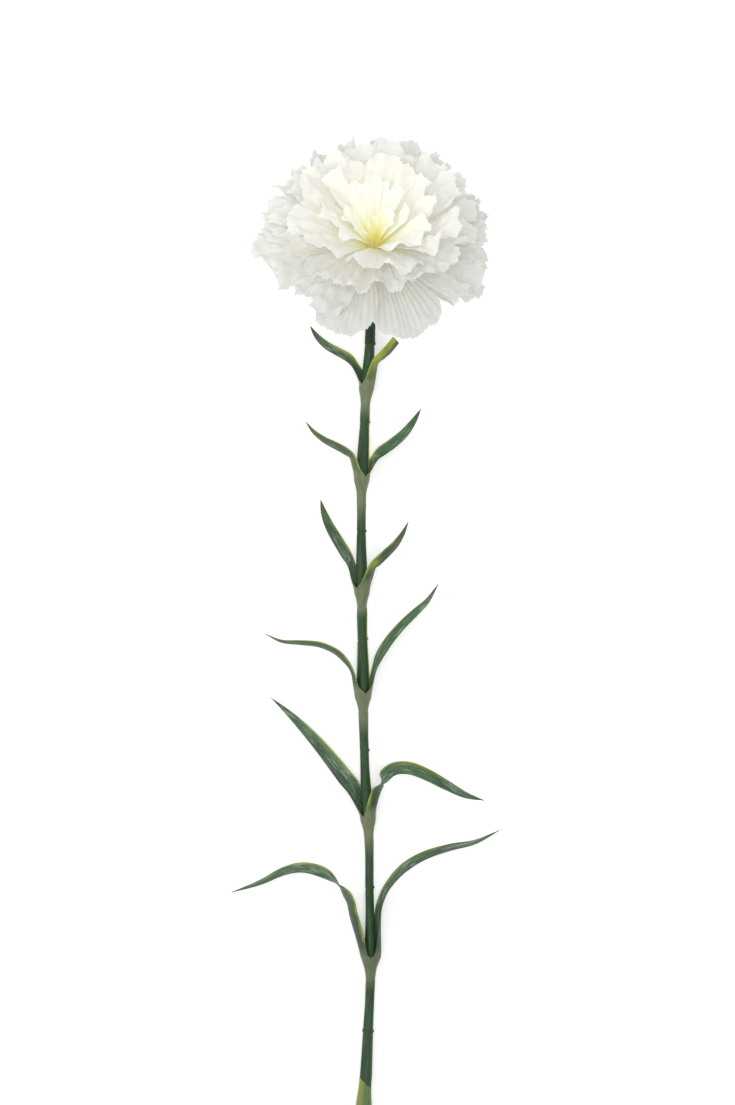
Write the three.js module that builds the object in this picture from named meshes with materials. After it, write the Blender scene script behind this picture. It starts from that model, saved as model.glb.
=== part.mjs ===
// A cut carnation lying on a table: one jointed stem, six pairs of clasping leaves, the
// stripped sheath of a seventh pair, a tubular calyx with its bracts, and a full head of petals.
// Millimetres. +Z is up and the table is z = 0. The stem lies along Y with the flower at +Y,
// and the flower's face is bent up from the stem, so that the head rests on its far petals.
import * as THREE from 'three';

const DEG = Math.PI / 180;
const { clamp, lerp, smoothstep } = THREE.MathUtils;

// ---- Driving dimensions -------------------------------------------------------------------

const PETAL_REACH = 45;          // from the calyx mouth to the edge of a guard petal
const PETAL_THICKNESS = 0.4;
const LEAF_THICKNESS = 0.7;
const SEAT_GAP = 0.4;            // clearance between a piece and what carries it

// The flower head: where the mouth of the calyx is, and how the head's axis leans.
const MOUTH = new THREE.Vector3(3.3, 170.2, 30.4);
const FACE_ELEVATION = 50;       // degrees from the stem's direction up to the flower's axis
const SIDE_LEAN = 3;             // degrees towards +X

// The calyx, in the head's own frame: z = 0 is its mouth and the tube runs down from there.
const CALYX_LENGTH = 27;
const CALYX_INNER_RADIUS = 6.1;
const CALYX_OUTER_RADIUS = 6.8;
const CALYX_FOOT_RADIUS = 2.6;
const CALYX_FLOOR = -14;         // the tube is hollow down to here
const CALYX_THROAT = -6;         // the tube is straight up to here
const CALYX_TEETH = 5;
const TOOTH_HEIGHT = 4.5;
const TOOTH_FLARE = 0.03;        // how fast the teeth lean out above the mouth
const CALYX_FOOT = [[4.6, -25.4], [5.7, -22], [6.4, -16]];  // radius and height up its foot

// The four scales at the calyx's foot: height, radius and half-angle from the foot to the tip.
const BRACT_LEVELS = [
  [-26.2, 4.1, 34], [-23.5, 5.4, 40], [-20, 6.1, 37], [-16.5, 6.55, 26], [-13, 6.85, 12],
  [-11, 7.1, 2.5],
];
const BRACT_THICKNESS = 0.5;
const BRACT_AZIMUTHS = [0, 90, 180, 270];

// Petals leave the tube straight up and bend outwards about one ring, so that they stay apart.
const BEND_RADIUS = 9;
const BEND_HEIGHT = 3;

// A repeatable number from 0 to 1 for each index.
function chance(index, salt) {
  const x = Math.sin(index * 12.9898 + salt * 78.233) * 43758.5453;
  return x - Math.floor(x);
}

// Whorls of petals, from the guard petals inwards. `claw` is the radius of their claws in the
// tube. Each petal has its azimuth (0 is +X, -90 is over the stem), the angle from the flower's
// axis that it opens to, its reach as a share of PETAL_REACH and, where it is narrower than its
// neighbours, the most degrees from its midline to its side.
const WHORLS = [
  { name: 'guard', claw: 5.6, petals: [
    [-107, 99, 1.01, 17], [-72, 99, 1.03, 21], [-21, 100, 0.92], [30, 98, 0.9], [68, 106, 0.98],
    [106, 106, 0.98], [145, 103, 0.93], [-174, 99, 0.95]] },
  { name: 'outer', claw: 4.8, petals: [
    [-131, 91, 0.99, 24], [-33, 91, 0.95, 19], [12, 87, 0.93], [54, 83, 0.93], [91, 82, 0.95],
    [127, 83, 0.93], [160, 85, 0.93]] },
  { name: 'wide', claw: 4.1, petals: [
    [-119, 79, 0.9, 23.5], [-72, 71, 0.89, 22.5], [-23, 73, 0.9, 22], [22, 71, 0.9],
    [60, 70, 0.95], [106, 70, 0.88], [146, 71, 0.9], [-174, 74, 0.93, 20]] },
  { name: 'middle', claw: 3.4, petals: [
    [-84, 62, 0.89], [-24, 57, 0.93], [32, 56, 0.92], [88, 54, 0.89], [144, 56, 0.9],
    [-156, 60, 0.9]] },
  { name: 'inner', claw: 2.6, petals: [
    [-42, 46, 0.72], [20, 43, 0.78], [76, 40, 0.8], [132, 42, 0.78], [-166, 47, 0.72]] },
  { name: 'upright', claw: 1.8, petals: [
    [-4, 34, 0.56, 32], [56, 29, 0.62], [112, 30, 0.68], [180, 37, 0.52, 27]] },
  { name: 'centre', claw: 1.0, petals: [
    [30, 20, 0.42], [113, 20, 0.31], [-170, 22, 0.21, 26]] },
];
const PETAL_OVERLAP = 1.18;      // how much wider a petal is than its share of the circle
const WIDEST_HALF = 24;          // degrees of azimuth from a petal's midline to its side
const PINWHEEL = 2.1;            // how far one side of a petal stands over its neighbour
const RECURVE = 9;               // degrees that a petal bends further along its length
const RUFFLE = 1.1;              // height of the waves at a petal's edge
const CUPPING = 1.2;             // how far a petal's sides may stand above its midline
const NARROW_SHARE = 0.72;       // a petal's width above its claw, as a share of its full width

// The stem's centreline, from the cut end to the foot of the neck.
const STEM_PATH = [
  [-3.4, -214.6, 1.66], [-2.5, -195, 2.6], [-1.3, -173, 3.43], [0.1, -151.5, 3.7],
  [1.0, -133, 3.9], [1.9, -114.5, 4.1], [1.9, -94.6, 4.3], [1.5, -76.6, 4.6],
  [1.4, -60, 4.9], [0.8, -46, 5.1], [0.0, -34.5, 5.3], [-0.5, -21, 5.5],
  [-0.9, -5.5, 5.8], [-1.0, 10.5, 6.0], [-1.3, 28, 6.3], [-1.4, 41.5, 6.5],
  [-1.7, 57, 6.7], [-1.6, 74.5, 6.7], [-1.2, 88.5, 6.5], [-0.5, 102, 6.1],
  [0.2, 115.5, 5.5], [1.2, 127, 4.8], [1.7, 136, 4.3],
];
const NECK_START = [1.9, 143.5, 4.0];
const STEM_RADIUS = 1.65;
const NODE_RADIUS = 2.3;         // the stem where it stands in a pair of leaf bases
const SWELL_LENGTH = 22;         // how far above a node the stem is still swollen
const SHOULDER_RADIUS = 1.85;    // the stem just below a pair of leaf bases
const SHOULDER_LENGTH = 10;
const WAIST_RADIUS = 1.3;        // the stem at the foot of a pair of leaf bases
const NODE_STATIONS = [-173, -104, -48, 0, 41, 84.5, 120];  // where its leaf pairs part, along Y
// What the stout lowest part adds to the stem's radius: a height along Y, and the amount.
const STOUTNESS = [[-173, 0], [-165, 0.25], [-158, 0.5], [-150, 0.7], [-122, 0.15], [-112, 0]];
const CUT_SLANT = 1.6;           // how far the cut end runs along the stem

// Leaves. `node` counts the stations above from the cut end and `side` is the angle about the
// stem at which the leaf is attached (0 is +X, 90 is up). `face` is how far the outer face of
// the blade is turned from straight up, in degrees towards +X on a blade that runs along +Y,
// at its middle and its tip. `path` is the blade's midrib after it leaves the stem.
const LEAVES = [
  { name: 'leaf_6_left', node: 1, side: 180, width: 5.5, face: [-146, -132],
    path: [[-5.0, -88, 5.4], [-6.4, -81.5, 7.0], [-9.8, -76, 8.4], [-16, -70.8, 9.2],
      [-23.8, -68.6, 8.8], [-31.6, -70, 6.8], [-41.2, -74.6, 3.4], [-52.3, -78.6, 0.22]] },
  { name: 'leaf_6_right', node: 1, side: 0, width: 5.2, face: [134, 128],
    path: [[5.4, -88, 5.2], [6.6, -81, 6.4], [9.8, -74.6, 7.8], [15.5, -68.4, 8.8],
      [23.3, -63.8, 8.8], [33, -60.8, 6.8], [42.8, -58.8, 3.4], [52.3, -54.4, 0.22]] },
  { name: 'leaf_5_left', node: 2, side: 215, width: 6.8, face: [-172, -166],
    path: [[-4.6, -38.5, 3.4], [-8.2, -33.4, 2.9], [-12.8, -27.4, 2.7], [-18.9, -20, 2.6],
      [-25.2, -13.2, 2.6], [-31.2, -7.4, 2.6], [-37, -2.4, 3.0]] },
  { name: 'leaf_5_right', node: 2, side: 35, width: 5.8, face: [150, 160],
    path: [[4.6, -39.5, 8.6], [6.2, -35.6, 10.8], [8.2, -32, 12.4], [12, -29.8, 12.8],
      [17.6, -29.9, 11.6], [24, -32.4, 9.6], [31.4, -36.4, 6.8], [39, -40.4, 4.2],
      [46.3, -42.6, 2.4]] },
  { name: 'leaf_4_left', node: 3, side: 165, width: 4.5, face: [-58, -60],
    path: [[-5.2, 7.6, 8.4], [-7.9, 12, 9.8], [-11.8, 15.6, 10.8], [-17.8, 18.2, 11.2],
      [-25.2, 19, 10.4], [-32.6, 19.6, 9.2], [-38.9, 22.4, 8.2]] },
  { name: 'leaf_4_right', node: 3, side: -15, width: 4.9, face: [136, 136],
    path: [[3.4, 8, 5.2], [5.4, 13.4, 5.2], [8.9, 19.2, 5.0], [13.8, 25.2, 4.8],
      [19.3, 30.6, 4.4], [24.2, 35.4, 4.2], [28.4, 41.9, 4.4]] },
  { name: 'leaf_3_left', node: 4, side: 215, width: 4.9, face: [-150, -146],
    path: [[-5.4, 49, 4.8], [-7.7, 53.6, 4.4], [-10.7, 58.6, 4.2], [-13.8, 64, 4.4],
      [-16.1, 69.4, 5.0], [-17.5, 74.8, 6.2]] },
  { name: 'leaf_3_right', node: 4, side: 38, width: 4.7, face: [44, 52],
    path: [[2.6, 48.2, 11.0], [4.8, 50.6, 12.0], [8.2, 53.8, 12.8], [11.7, 57.4, 13.4],
      [14.4, 61.4, 13.6], [16.7, 66.2, 13.4]] },
  { name: 'leaf_2_left', node: 5, side: 150, width: 4.8, face: [-54, -60],
    path: [[-5.2, 91.2, 10.8], [-8, 93.6, 12.0], [-12, 95.8, 13.0], [-16.2, 98, 13.4],
      [-20.2, 101.2, 13.0], [-23.2, 105, 12.2]] },
  { name: 'leaf_2_right', node: 5, side: -30, width: 5.0, face: [144, 140],
    path: [[3.8, 91, 6.0], [6.4, 93.6, 5.8], [10.8, 96.8, 5.6], [15.1, 100.6, 5.6],
      [18.6, 105.1, 6.0], [21.6, 110.2, 6.8]] },
  { name: 'leaf_1_left', node: 6, side: 215, width: 4.6, face: [-138, -140],
    path: [[-4.0, 127, 4.6], [-6.6, 130, 5.2], [-10.8, 132.4, 6.2], [-15.2, 134.9, 7.6],
      [-18.8, 138.2, 9.2], [-21.6, 142.4, 11.0]] },
  { name: 'leaf_1_right', node: 6, side: 40, width: 4.8, face: [70, 96],
    path: [[4.2, 127.6, 9.8], [6.4, 130.4, 11.4], [8.9, 133, 12.6], [11.2, 135.8, 13.0],
      [13.0, 138.2, 12.2], [14.0, 139.6, 10.2]] },
];
const SHEATH_LENGTH = 8;         // how far a leaf's base is closed round the stem
const SHEATH_HALF_ANGLE = 84;
const SHEATH_THICKNESS = 0.5;
const LEAF_TIP_WIDTH = 0.4;
const CHANNEL_RADIUS = 12;       // the blade is a shallow channel of this radius

// Stubs of the seventh pair of leaves, stripped from the lowest node.
const STUB_LENGTH = 30;
const STUB_HALF_ANGLE = 166;
const STUB_SLANT = 4.5;
const STUB_TAPER_FROM = 0.6;     // the share of its length at which the stub starts to thin
const STUB_RIM_GAP = 0.15;
const STUB_RIM_THICKNESS = 0.25;

// ---- Colours ------------------------------------------------------------------------------

const paint = (color, roughness) =>
  new THREE.MeshStandardMaterial({ color, roughness, metalness: 0 });
const MATERIALS = {
  petal: () => paint(0xf4f3ec, 0.8),
  heart: () => paint(0xecea9a, 0.8),
  stem: () => paint(0x47694a, 0.55),
  leaf: () => paint(0x4f7356, 0.5),
  sheath: () => paint(0x93a564, 0.55),
  calyx: () => paint(0x6f8f5c, 0.55),
};

// ---- Geometry helpers ---------------------------------------------------------------------

// A closed BufferGeometry from points and triangles, turned so that its faces point outwards.
function closedGeometry(points, triangles) {
  const volume = triangles.reduce((sum, [a, b, c]) => {
    const cross = new THREE.Vector3().crossVectors(points[b], points[c]);
    return sum + points[a].dot(cross);
  }, 0);
  const facing = volume < 0 ? triangles.map(([a, b, c]) => [a, c, b]) : triangles;
  const geometry = new THREE.BufferGeometry().setFromPoints(points);
  geometry.setIndex(facing.flat());
  geometry.computeVertexNormals();
  return geometry;
}

// A thin solid between two matching grids of points, such as a petal's two faces.
function sheetGeometry(front, back) {
  const rows = front.length, columns = front[0].length;
  const points = [...front.flat(), ...back.flat()];
  const triangles = [];
  const at = (side, i, j) => side * rows * columns + i * columns + j;
  const quad = (a, b, c, d) => triangles.push([a, b, c], [a, c, d]);
  for (let i = 0; i + 1 < rows; i++) {
    for (let j = 0; j + 1 < columns; j++) {
      quad(at(0, i, j), at(0, i, j + 1), at(0, i + 1, j + 1), at(0, i + 1, j));
      quad(at(1, i, j), at(1, i + 1, j), at(1, i + 1, j + 1), at(1, i, j + 1));
    }
    const last = columns - 1;
    quad(at(0, i, 0), at(0, i + 1, 0), at(1, i + 1, 0), at(1, i, 0));
    quad(at(0, i, last), at(1, i, last), at(1, i + 1, last), at(0, i + 1, last));
  }
  for (let j = 0; j + 1 < columns; j++) {
    const last = rows - 1;
    quad(at(0, 0, j), at(1, 0, j), at(1, 0, j + 1), at(0, 0, j + 1));
    quad(at(0, last, j), at(0, last, j + 1), at(1, last, j + 1), at(1, last, j));
  }
  return closedGeometry(points, triangles);
}

// A solid through a chain of closed rings, with a point that closes each end.
function ringGeometry(rings, firstPoint, lastPoint) {
  const sides = rings[0].length;
  const points = [...rings.flat(), firstPoint, lastPoint];
  const first = points.length - 2, last = points.length - 1;
  const triangles = [];
  for (let j = 0; j < sides; j++) {
    const k = (j + 1) % sides;
    for (let i = 0; i + 1 < rings.length; i++) {
      const a = i * sides + j, b = i * sides + k, c = a + sides, d = b + sides;
      triangles.push([a, b, d], [a, d, c]);
    }
    triangles.push([first, k, j]);
    triangles.push([last, (rings.length - 1) * sides + j, (rings.length - 1) * sides + k]);
  }
  return closedGeometry(points, triangles);
}

// A smooth curve through points, and frames along it that turn as little as they can.
const curveThrough = (points) =>
  new THREE.CatmullRomCurve3(points.map((p) => new THREE.Vector3(...p)), false, 'catmullrom', 0.5);

function framesAlong(curve, parameters, firstNormal) {
  const frames = [];
  let normal = firstNormal.clone();
  for (const t of parameters) {
    const tangent = curve.getTangent(t);
    normal = normal.addScaledVector(tangent, -normal.dot(tangent)).normalize();
    const across = new THREE.Vector3().crossVectors(tangent, normal);
    frames.push({ point: curve.getPoint(t), tangent, normal: normal.clone(), across });
  }
  return frames;
}

function named(name, geometry, material) {
  const mesh = new THREE.Mesh(geometry, material);
  mesh.name = name;
  return mesh;
}

// ---- The flower head, in its own frame: +Z is the flower's axis, z = 0 the calyx mouth -----

// Where a petal's midline is `run` millimetres past the bend, and which way it points there.
function petalProfile(petal, run) {
  const bend = BEND_RADIUS - petal.claw;
  const first = petal.open - petal.recurve;
  const arc = bend * first;
  if (run <= 0) return { radius: petal.claw, height: BEND_HEIGHT + run, angle: 0 };
  if (run < arc) {
    const angle = run / bend;
    const radius = BEND_RADIUS - bend * Math.cos(angle);
    return { radius, height: BEND_HEIGHT + bend * Math.sin(angle), angle };
  }
  const wide = (petal.length - arc) / petal.recurve;
  const angle = first + (run - arc) / wide;
  const radius = BEND_RADIUS - bend * Math.cos(first) + wide * (Math.cos(first) - Math.cos(angle));
  const height = BEND_HEIGHT + bend * Math.sin(first) + wide * (Math.sin(angle) - Math.sin(first));
  return { radius, height, angle };
}

function petalPoint(petal, side, run) {
  const { radius, height, angle } = petalProfile(petal, run);
  const along = clamp(run / petal.length, 0, 1);
  const half = side < 0 ? petal.left : petal.right;
  const spread = half * lerp(NARROW_SHARE, 1, smoothstep(along, 0.2, 0.55));
  const azimuth = petal.azimuth + side * lerp(petal.clawHalf, spread, smoothstep(run, 0, 8));
  const wave = Math.sin(petal.waves * azimuth + petal.phase);
  const lift = petal.pinwheel * side * along + RUFFLE * wave * along ** 1.6
    + petal.cup * side * side * along * along;
  const r = radius - lift * Math.cos(angle);
  return new THREE.Vector3(r * Math.cos(azimuth), r * Math.sin(azimuth),
    height + lift * Math.sin(angle));
}

// The runs at which a petal is sampled: its claw, its bend, then even steps to a round edge.
function petalRuns(petal, side, steps) {
  const bent = (BEND_RADIUS - petal.claw) * (petal.open - petal.recurve);
  const edge = petal.length * (1 - 0.08 * side ** 2 - 0.14 * side ** 6);
  const runs = [CALYX_FLOOR + SEAT_GAP - BEND_HEIGHT, 0, bent / 2, bent];
  for (let k = 1; k <= steps; k++) runs.push(lerp(bent, edge, k / steps));
  return runs;
}

function petalGeometry(petal, columns, steps) {
  const front = [], back = [];
  const sides = Array.from({ length: columns }, (_, j) => (2 * j) / (columns - 1) - 1);
  const rows = petalRuns(petal, 0, steps).length;
  const step = 0.01;
  for (let i = 0; i < rows; i++) {
    front.push([]);
    back.push([]);
    for (const side of sides) {
      const run = petalRuns(petal, side, steps)[i];
      const point = petalPoint(petal, side, run);
      const down = petalPoint(petal, side, run + step).sub(petalPoint(petal, side, run - step));
      const over = petalPoint(petal, side + step, run).sub(petalPoint(petal, side - step, run));
      const normal = over.cross(down).normalize();
      front[i].push(point.clone().addScaledVector(normal, PETAL_THICKNESS / 2));
      back[i].push(point.clone().addScaledVector(normal, -PETAL_THICKNESS / 2));
    }
  }
  return sheetGeometry(front, back);
}

function petalsOf(whorl, number) {
  const count = whorl.petals.length;
  const share = 180 / count;
  const roomiest = Math.max(WIDEST_HALF, 1.1 * share);
  return whorl.petals.map(([azimuth, open, reach, widest = roomiest], k) => {
    // A petal is as wide as the space to its neighbours lets it be.
    const before = whorl.petals[(k + count - 1) % count][0];
    const after = whorl.petals[(k + 1) % count][0];
    const halfTo = (space) =>
      Math.min(widest, (PETAL_OVERLAP * ((space + 720) % 360)) / 2) * DEG;
    const index = number * 10 + k;
    return {
      name: `petal_${whorl.name}_${k + 1}`,
      claw: whorl.claw,
      azimuth: azimuth * DEG,
      open: open * DEG,
      recurve: RECURVE * DEG,
      length: PETAL_REACH * reach,
      clawHalf: 0.52 * share * DEG,
      left: halfTo(azimuth - before),
      right: halfTo(after - azimuth),
      pinwheel: (number % 2 ? -PINWHEEL : PINWHEEL) * reach,
      waves: 1.5 * count,
      phase: number * 2.1,
      cup: CUPPING * (chance(index, 4) - 0.4),
    };
  });
}

function calyx() {
  const sides = 30;
  const outside = [[CALYX_FOOT_RADIUS + 0.4, -CALYX_LENGTH], ...CALYX_FOOT,
    [CALYX_OUTER_RADIUS, CALYX_THROAT]];
  // The rim runs up and down through the teeth.
  const rimAt = (azimuth) => {
    const turn = (azimuth / (2 * Math.PI)) * CALYX_TEETH;
    return TOOTH_HEIGHT * (1 - 2 * Math.abs(turn - Math.floor(turn) - 0.5));
  };
  const halfRimAt = (azimuth) => 0.45 * rimAt(azimuth);
  const flared = (radius) => (height) => radius + TOOTH_FLARE * Math.max(0, height) ** 2;
  const ring = (radiusAt, heightAt) => Array.from({ length: sides }, (_, j) => {
    const azimuth = (2 * Math.PI * j) / sides;
    const height = heightAt(azimuth), radius = radiusAt(height);
    return new THREE.Vector3(radius * Math.cos(azimuth), radius * Math.sin(azimuth), height);
  });
  const rings = outside.map(([radius, height]) => ring(() => radius, () => height));
  rings.push(ring(flared(CALYX_OUTER_RADIUS), halfRimAt));
  rings.push(ring(flared(CALYX_OUTER_RADIUS), rimAt));
  rings.push(ring(flared(CALYX_INNER_RADIUS + 0.2), rimAt));
  rings.push(ring(flared(CALYX_INNER_RADIUS), halfRimAt));
  rings.push(ring(() => CALYX_INNER_RADIUS, () => CALYX_THROAT));
  rings.push(ring(() => CALYX_INNER_RADIUS, () => CALYX_FLOOR));
  return ringGeometry(rings, new THREE.Vector3(0, 0, -CALYX_LENGTH),
    new THREE.Vector3(0, 0, CALYX_FLOOR));
}

// One of the scales that sit against the foot of the calyx.
function bract(middle) {
  const columns = 7;
  const face = (offset) => BRACT_LEVELS.map(([height, radius, half]) =>
    Array.from({ length: columns }, (_, j) => {
      const azimuth = (middle + half * ((2 * j) / (columns - 1) - 1)) * DEG;
      const r = radius + SEAT_GAP + offset;
      return new THREE.Vector3(r * Math.cos(azimuth), r * Math.sin(azimuth), height);
    }));
  return sheetGeometry(face(BRACT_THICKNESS), face(0));
}

function flowerHead() {
  const head = new THREE.Group();
  head.position.copy(MOUTH);
  head.rotation.set((FACE_ELEVATION - 90) * DEG, SIDE_LEAN * DEG, 0);
  head.add(named('calyx', calyx(), MATERIALS.calyx()));
  BRACT_AZIMUTHS.forEach((middle, k) =>
    head.add(named(`bract_${k + 1}`, bract(middle), MATERIALS.sheath())));
  WHORLS.forEach((whorl, number) => {
    const columns = whorl.petals.length > 5 ? 7 : 5;
    const material = number > 4 ? MATERIALS.heart : MATERIALS.petal;
    for (const petal of petalsOf(whorl, number))
      head.add(named(petal.name, petalGeometry(petal, columns, columns - 1), material()));
  });
  return head;
}

// ---- The stem -----------------------------------------------------------------------------

// What the stem's stout lowest part adds to its radius at a height along Y.
function stoutness(y) {
  const next = STOUTNESS.findIndex(([place]) => y < place);
  if (next < 1) return 0;
  const [low, from] = STOUTNESS[next - 1];
  const [high, to] = STOUTNESS[next];
  return lerp(from, to, (y - low) / (high - low));
}

// The stem's radius along Y: it swells into each pair of leaf bases and thins out above them.
function stemRadius(y) {
  let radius = STEM_RADIUS;
  for (const node of NODE_STATIONS) {
    const above = y - node;
    const below = -SHEATH_LENGTH - above;
    if (above > 0 && above < SWELL_LENGTH) {
      radius = lerp(NODE_RADIUS, STEM_RADIUS, smoothstep(above, 0, SWELL_LENGTH));
    } else if (above <= 0 && above > -SHEATH_LENGTH) {
      radius = lerp(WAIST_RADIUS, NODE_RADIUS, smoothstep(above, -SHEATH_LENGTH, 0));
    } else if (below >= 0 && below < SHOULDER_LENGTH) {
      radius = lerp(SHOULDER_RADIUS, STEM_RADIUS, smoothstep(below, 0, SHOULDER_LENGTH));
    }
  }
  return radius + stoutness(y);
}

// The neck bends up from the stem's last point into the foot of the calyx.
function neckPoints(head) {
  const foot = head.localToWorld(new THREE.Vector3(0, 0, -CALYX_LENGTH - SEAT_GAP));
  const below = head.localToWorld(new THREE.Vector3(0, 0, -CALYX_LENGTH - 5));
  return [NECK_START, below.toArray(), foot.toArray()];
}

// The parameter at which the stem's curve passes a height along Y.
function stationOn(curve, y) {
  let low = 0, high = 1;
  for (let halving = 0; halving < 40; halving++) {
    const middle = (low + high) / 2;
    if (curve.getPoint(middle).y < y) low = middle;
    else high = middle;
  }
  return low;
}

const onStem = (curve, y) => curve.getPoint(stationOn(curve, y));

function stem(curve) {
  const sides = 10, neckSteps = 9;
  const foot = -SHEATH_LENGTH;
  const steps = [foot - SHOULDER_LENGTH, foot - SHOULDER_LENGTH / 2, foot - 0.01, foot + 0.01,
    foot / 2, 0, 0.3 * SWELL_LENGTH, 0.6 * SWELL_LENGTH, SWELL_LENGTH];
  const levels = NODE_STATIONS.flatMap((node) => steps.map((step) => node + step));
  const parameters = [STEM_PATH[0][1], ...levels.filter((y) => y < NECK_START[1] - 1)]
    .sort((a, b) => a - b).map((y) => stationOn(curve, y));
  const neckFrom = stationOn(curve, NECK_START[1]);
  for (let k = 0; k <= neckSteps; k++) parameters.push(lerp(neckFrom, 1, k / neckSteps));
  const frames = framesAlong(curve, parameters, new THREE.Vector3(0, 0, 1));
  const rings = frames.map(({ point, normal, across }, i) => {
    const intoCalyx = smoothstep(parameters[i], lerp(neckFrom, 1, 0.6), 1);
    const radius = lerp(stemRadius(point.y), CALYX_FOOT_RADIUS, intoCalyx);
    return Array.from({ length: sides }, (_, j) => {
      const angle = (2 * Math.PI * j) / sides;
      const rim = point.clone().addScaledVector(normal, radius * Math.cos(angle))
        .addScaledVector(across, radius * Math.sin(angle));
      if (i === 0) rim.y += CUT_SLANT * Math.cos(angle);
      return rim;
    });
  });
  return ringGeometry(rings, frames[0].point, frames.at(-1).point);
}

// ---- The leaves ---------------------------------------------------------------------------

function leafGeometry(leaf, stemCurve) {
  const station = NODE_STATIONS[leaf.node];
  const outward = new THREE.Vector3(Math.cos(leaf.side * DEG), 0, Math.sin(leaf.side * DEG));
  const skin = SEAT_GAP + SHEATH_THICKNESS / 2;
  const beside = (y) => onStem(stemCurve, y)
    .addScaledVector(outward, stemRadius(y) + skin).toArray();
  const bottom = station - SHEATH_LENGTH + SEAT_GAP;
  const path = [beside(bottom), beside(station - 2.5), beside(station + 2), ...leaf.path];
  const curve = curveThrough(path);
  const last = path.length - 1;
  const parameters = [0, 0.35 / last, 0.7 / last, 1 / last, 1.5 / last, 2 / last];
  const steps = 10;
  for (let k = 1; k <= steps; k++) parameters.push(lerp(2 / last, 1, k / steps));
  const columns = 5;
  const up = new THREE.Vector3(0, 0, 1);
  const front = [], back = [];
  for (const parameter of parameters) {
    const point = curve.getPoint(parameter), tangent = curve.getTangent(parameter);
    const t = parameter * last;
    const along = clamp((t - 2) / (last - 2), 0, 1);
    // The base clasps the stem; the blade opens to a shallow channel and turns as it goes.
    const clasp = stemRadius(clamp(point.y, bottom, station + 2)) + skin;
    const open = smoothstep(t, 1.2, 3.4);
    const curl = lerp(clasp, CHANNEL_RADIUS, open);
    const baseHalf = SHEATH_HALF_ANGLE * DEG * clasp * lerp(1, 0.75, smoothstep(t, 1, 2));
    const taper = (1 - along ** 3) * lerp(0.7, 1, smoothstep(along, 0, 0.35));
    const bladeHalf = Math.max(LEAF_TIP_WIDTH, leaf.width * taper) / 2;
    const half = lerp(baseHalf, bladeHalf, open);
    const turned = lerp(90 - leaf.side, leaf.face[0], smoothstep(along, 0, 0.4));
    const face = lerp(turned, leaf.face[1], smoothstep(along, 0.4, 1)) * DEG;
    const above = up.clone().addScaledVector(tangent, -up.dot(tangent)).normalize();
    const beyond = new THREE.Vector3().crossVectors(tangent, above);
    const out = above.multiplyScalar(Math.cos(face)).addScaledVector(beyond, Math.sin(face));
    const wide = new THREE.Vector3().crossVectors(tangent, out);
    const thickness = lerp(SHEATH_THICKNESS, LEAF_THICKNESS, open) * lerp(1, 0.6, along);
    front.push([]);
    back.push([]);
    for (let j = 0; j < columns; j++) {
      const u = (2 * j) / (columns - 1) - 1;
      const bearing = (u * half) / curl;
      const ray = out.clone().multiplyScalar(Math.cos(bearing))
        .addScaledVector(wide, Math.sin(bearing));
      const middle = point.clone().addScaledVector(out, -curl).addScaledVector(ray, curl);
      const offset = (thickness / 2) * (1 - 0.45 * open * u * u);
      front.at(-1).push(middle.clone().addScaledVector(ray, offset));
      back.at(-1).push(middle.clone().addScaledVector(ray, -offset));
    }
  }
  return sheetGeometry(front, back);
}

// The stripped leaf bases at the lowest node: one thin sleeve, slit underneath, cut on a slant.
function stubGeometry(stemCurve) {
  const bottom = NODE_STATIONS[0] - SHEATH_LENGTH + SEAT_GAP;
  const columns = 15, rows = 8;
  const faces = [0, 1].map((outside) => Array.from({ length: rows }, (_, i) =>
    Array.from({ length: columns }, (_, j) => {
      const bearing = (STUB_HALF_ANGLE * DEG) * ((2 * j) / (columns - 1) - 1) + Math.PI / 2;
      const top = bottom + STUB_LENGTH - STUB_SLANT * (0.5 + 0.5 * Math.cos(bearing));
      const share = i / (rows - 1);
      const y = lerp(bottom, top, share);
      const centre = onStem(stemCurve, y);
      const taper = smoothstep(share, STUB_TAPER_FROM, 1);
      const gap = lerp(SEAT_GAP, STUB_RIM_GAP, taper);
      const thickness = lerp(SHEATH_THICKNESS, STUB_RIM_THICKNESS, taper);
      const radius = stemRadius(y) + gap + outside * thickness;
      return new THREE.Vector3(centre.x + radius * Math.cos(bearing), y,
        centre.z + radius * Math.sin(bearing));
    })));
  return sheetGeometry(faces[1], faces[0]);
}

// ---- The whole flower ---------------------------------------------------------------------

const carnation = new THREE.Group();
const head = flowerHead();
head.updateMatrixWorld(true);
const stemCurve = curveThrough([...STEM_PATH, ...neckPoints(head)]);
carnation.add(head);
carnation.add(named('stem', stem(stemCurve), MATERIALS.stem()));
carnation.add(named('stripped_sheath', stubGeometry(stemCurve), MATERIALS.sheath()));
for (const leaf of LEAVES)
  carnation.add(named(leaf.name, leafGeometry(leaf, stemCurve), MATERIALS.leaf()));

export default carnation;
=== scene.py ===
"""A cut carnation lying on a pale floor, seen from straight above.

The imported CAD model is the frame. Lengths are millimetres up to the point where a mesh is
made; Blender's own units are metres.
"""

import math

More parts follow.
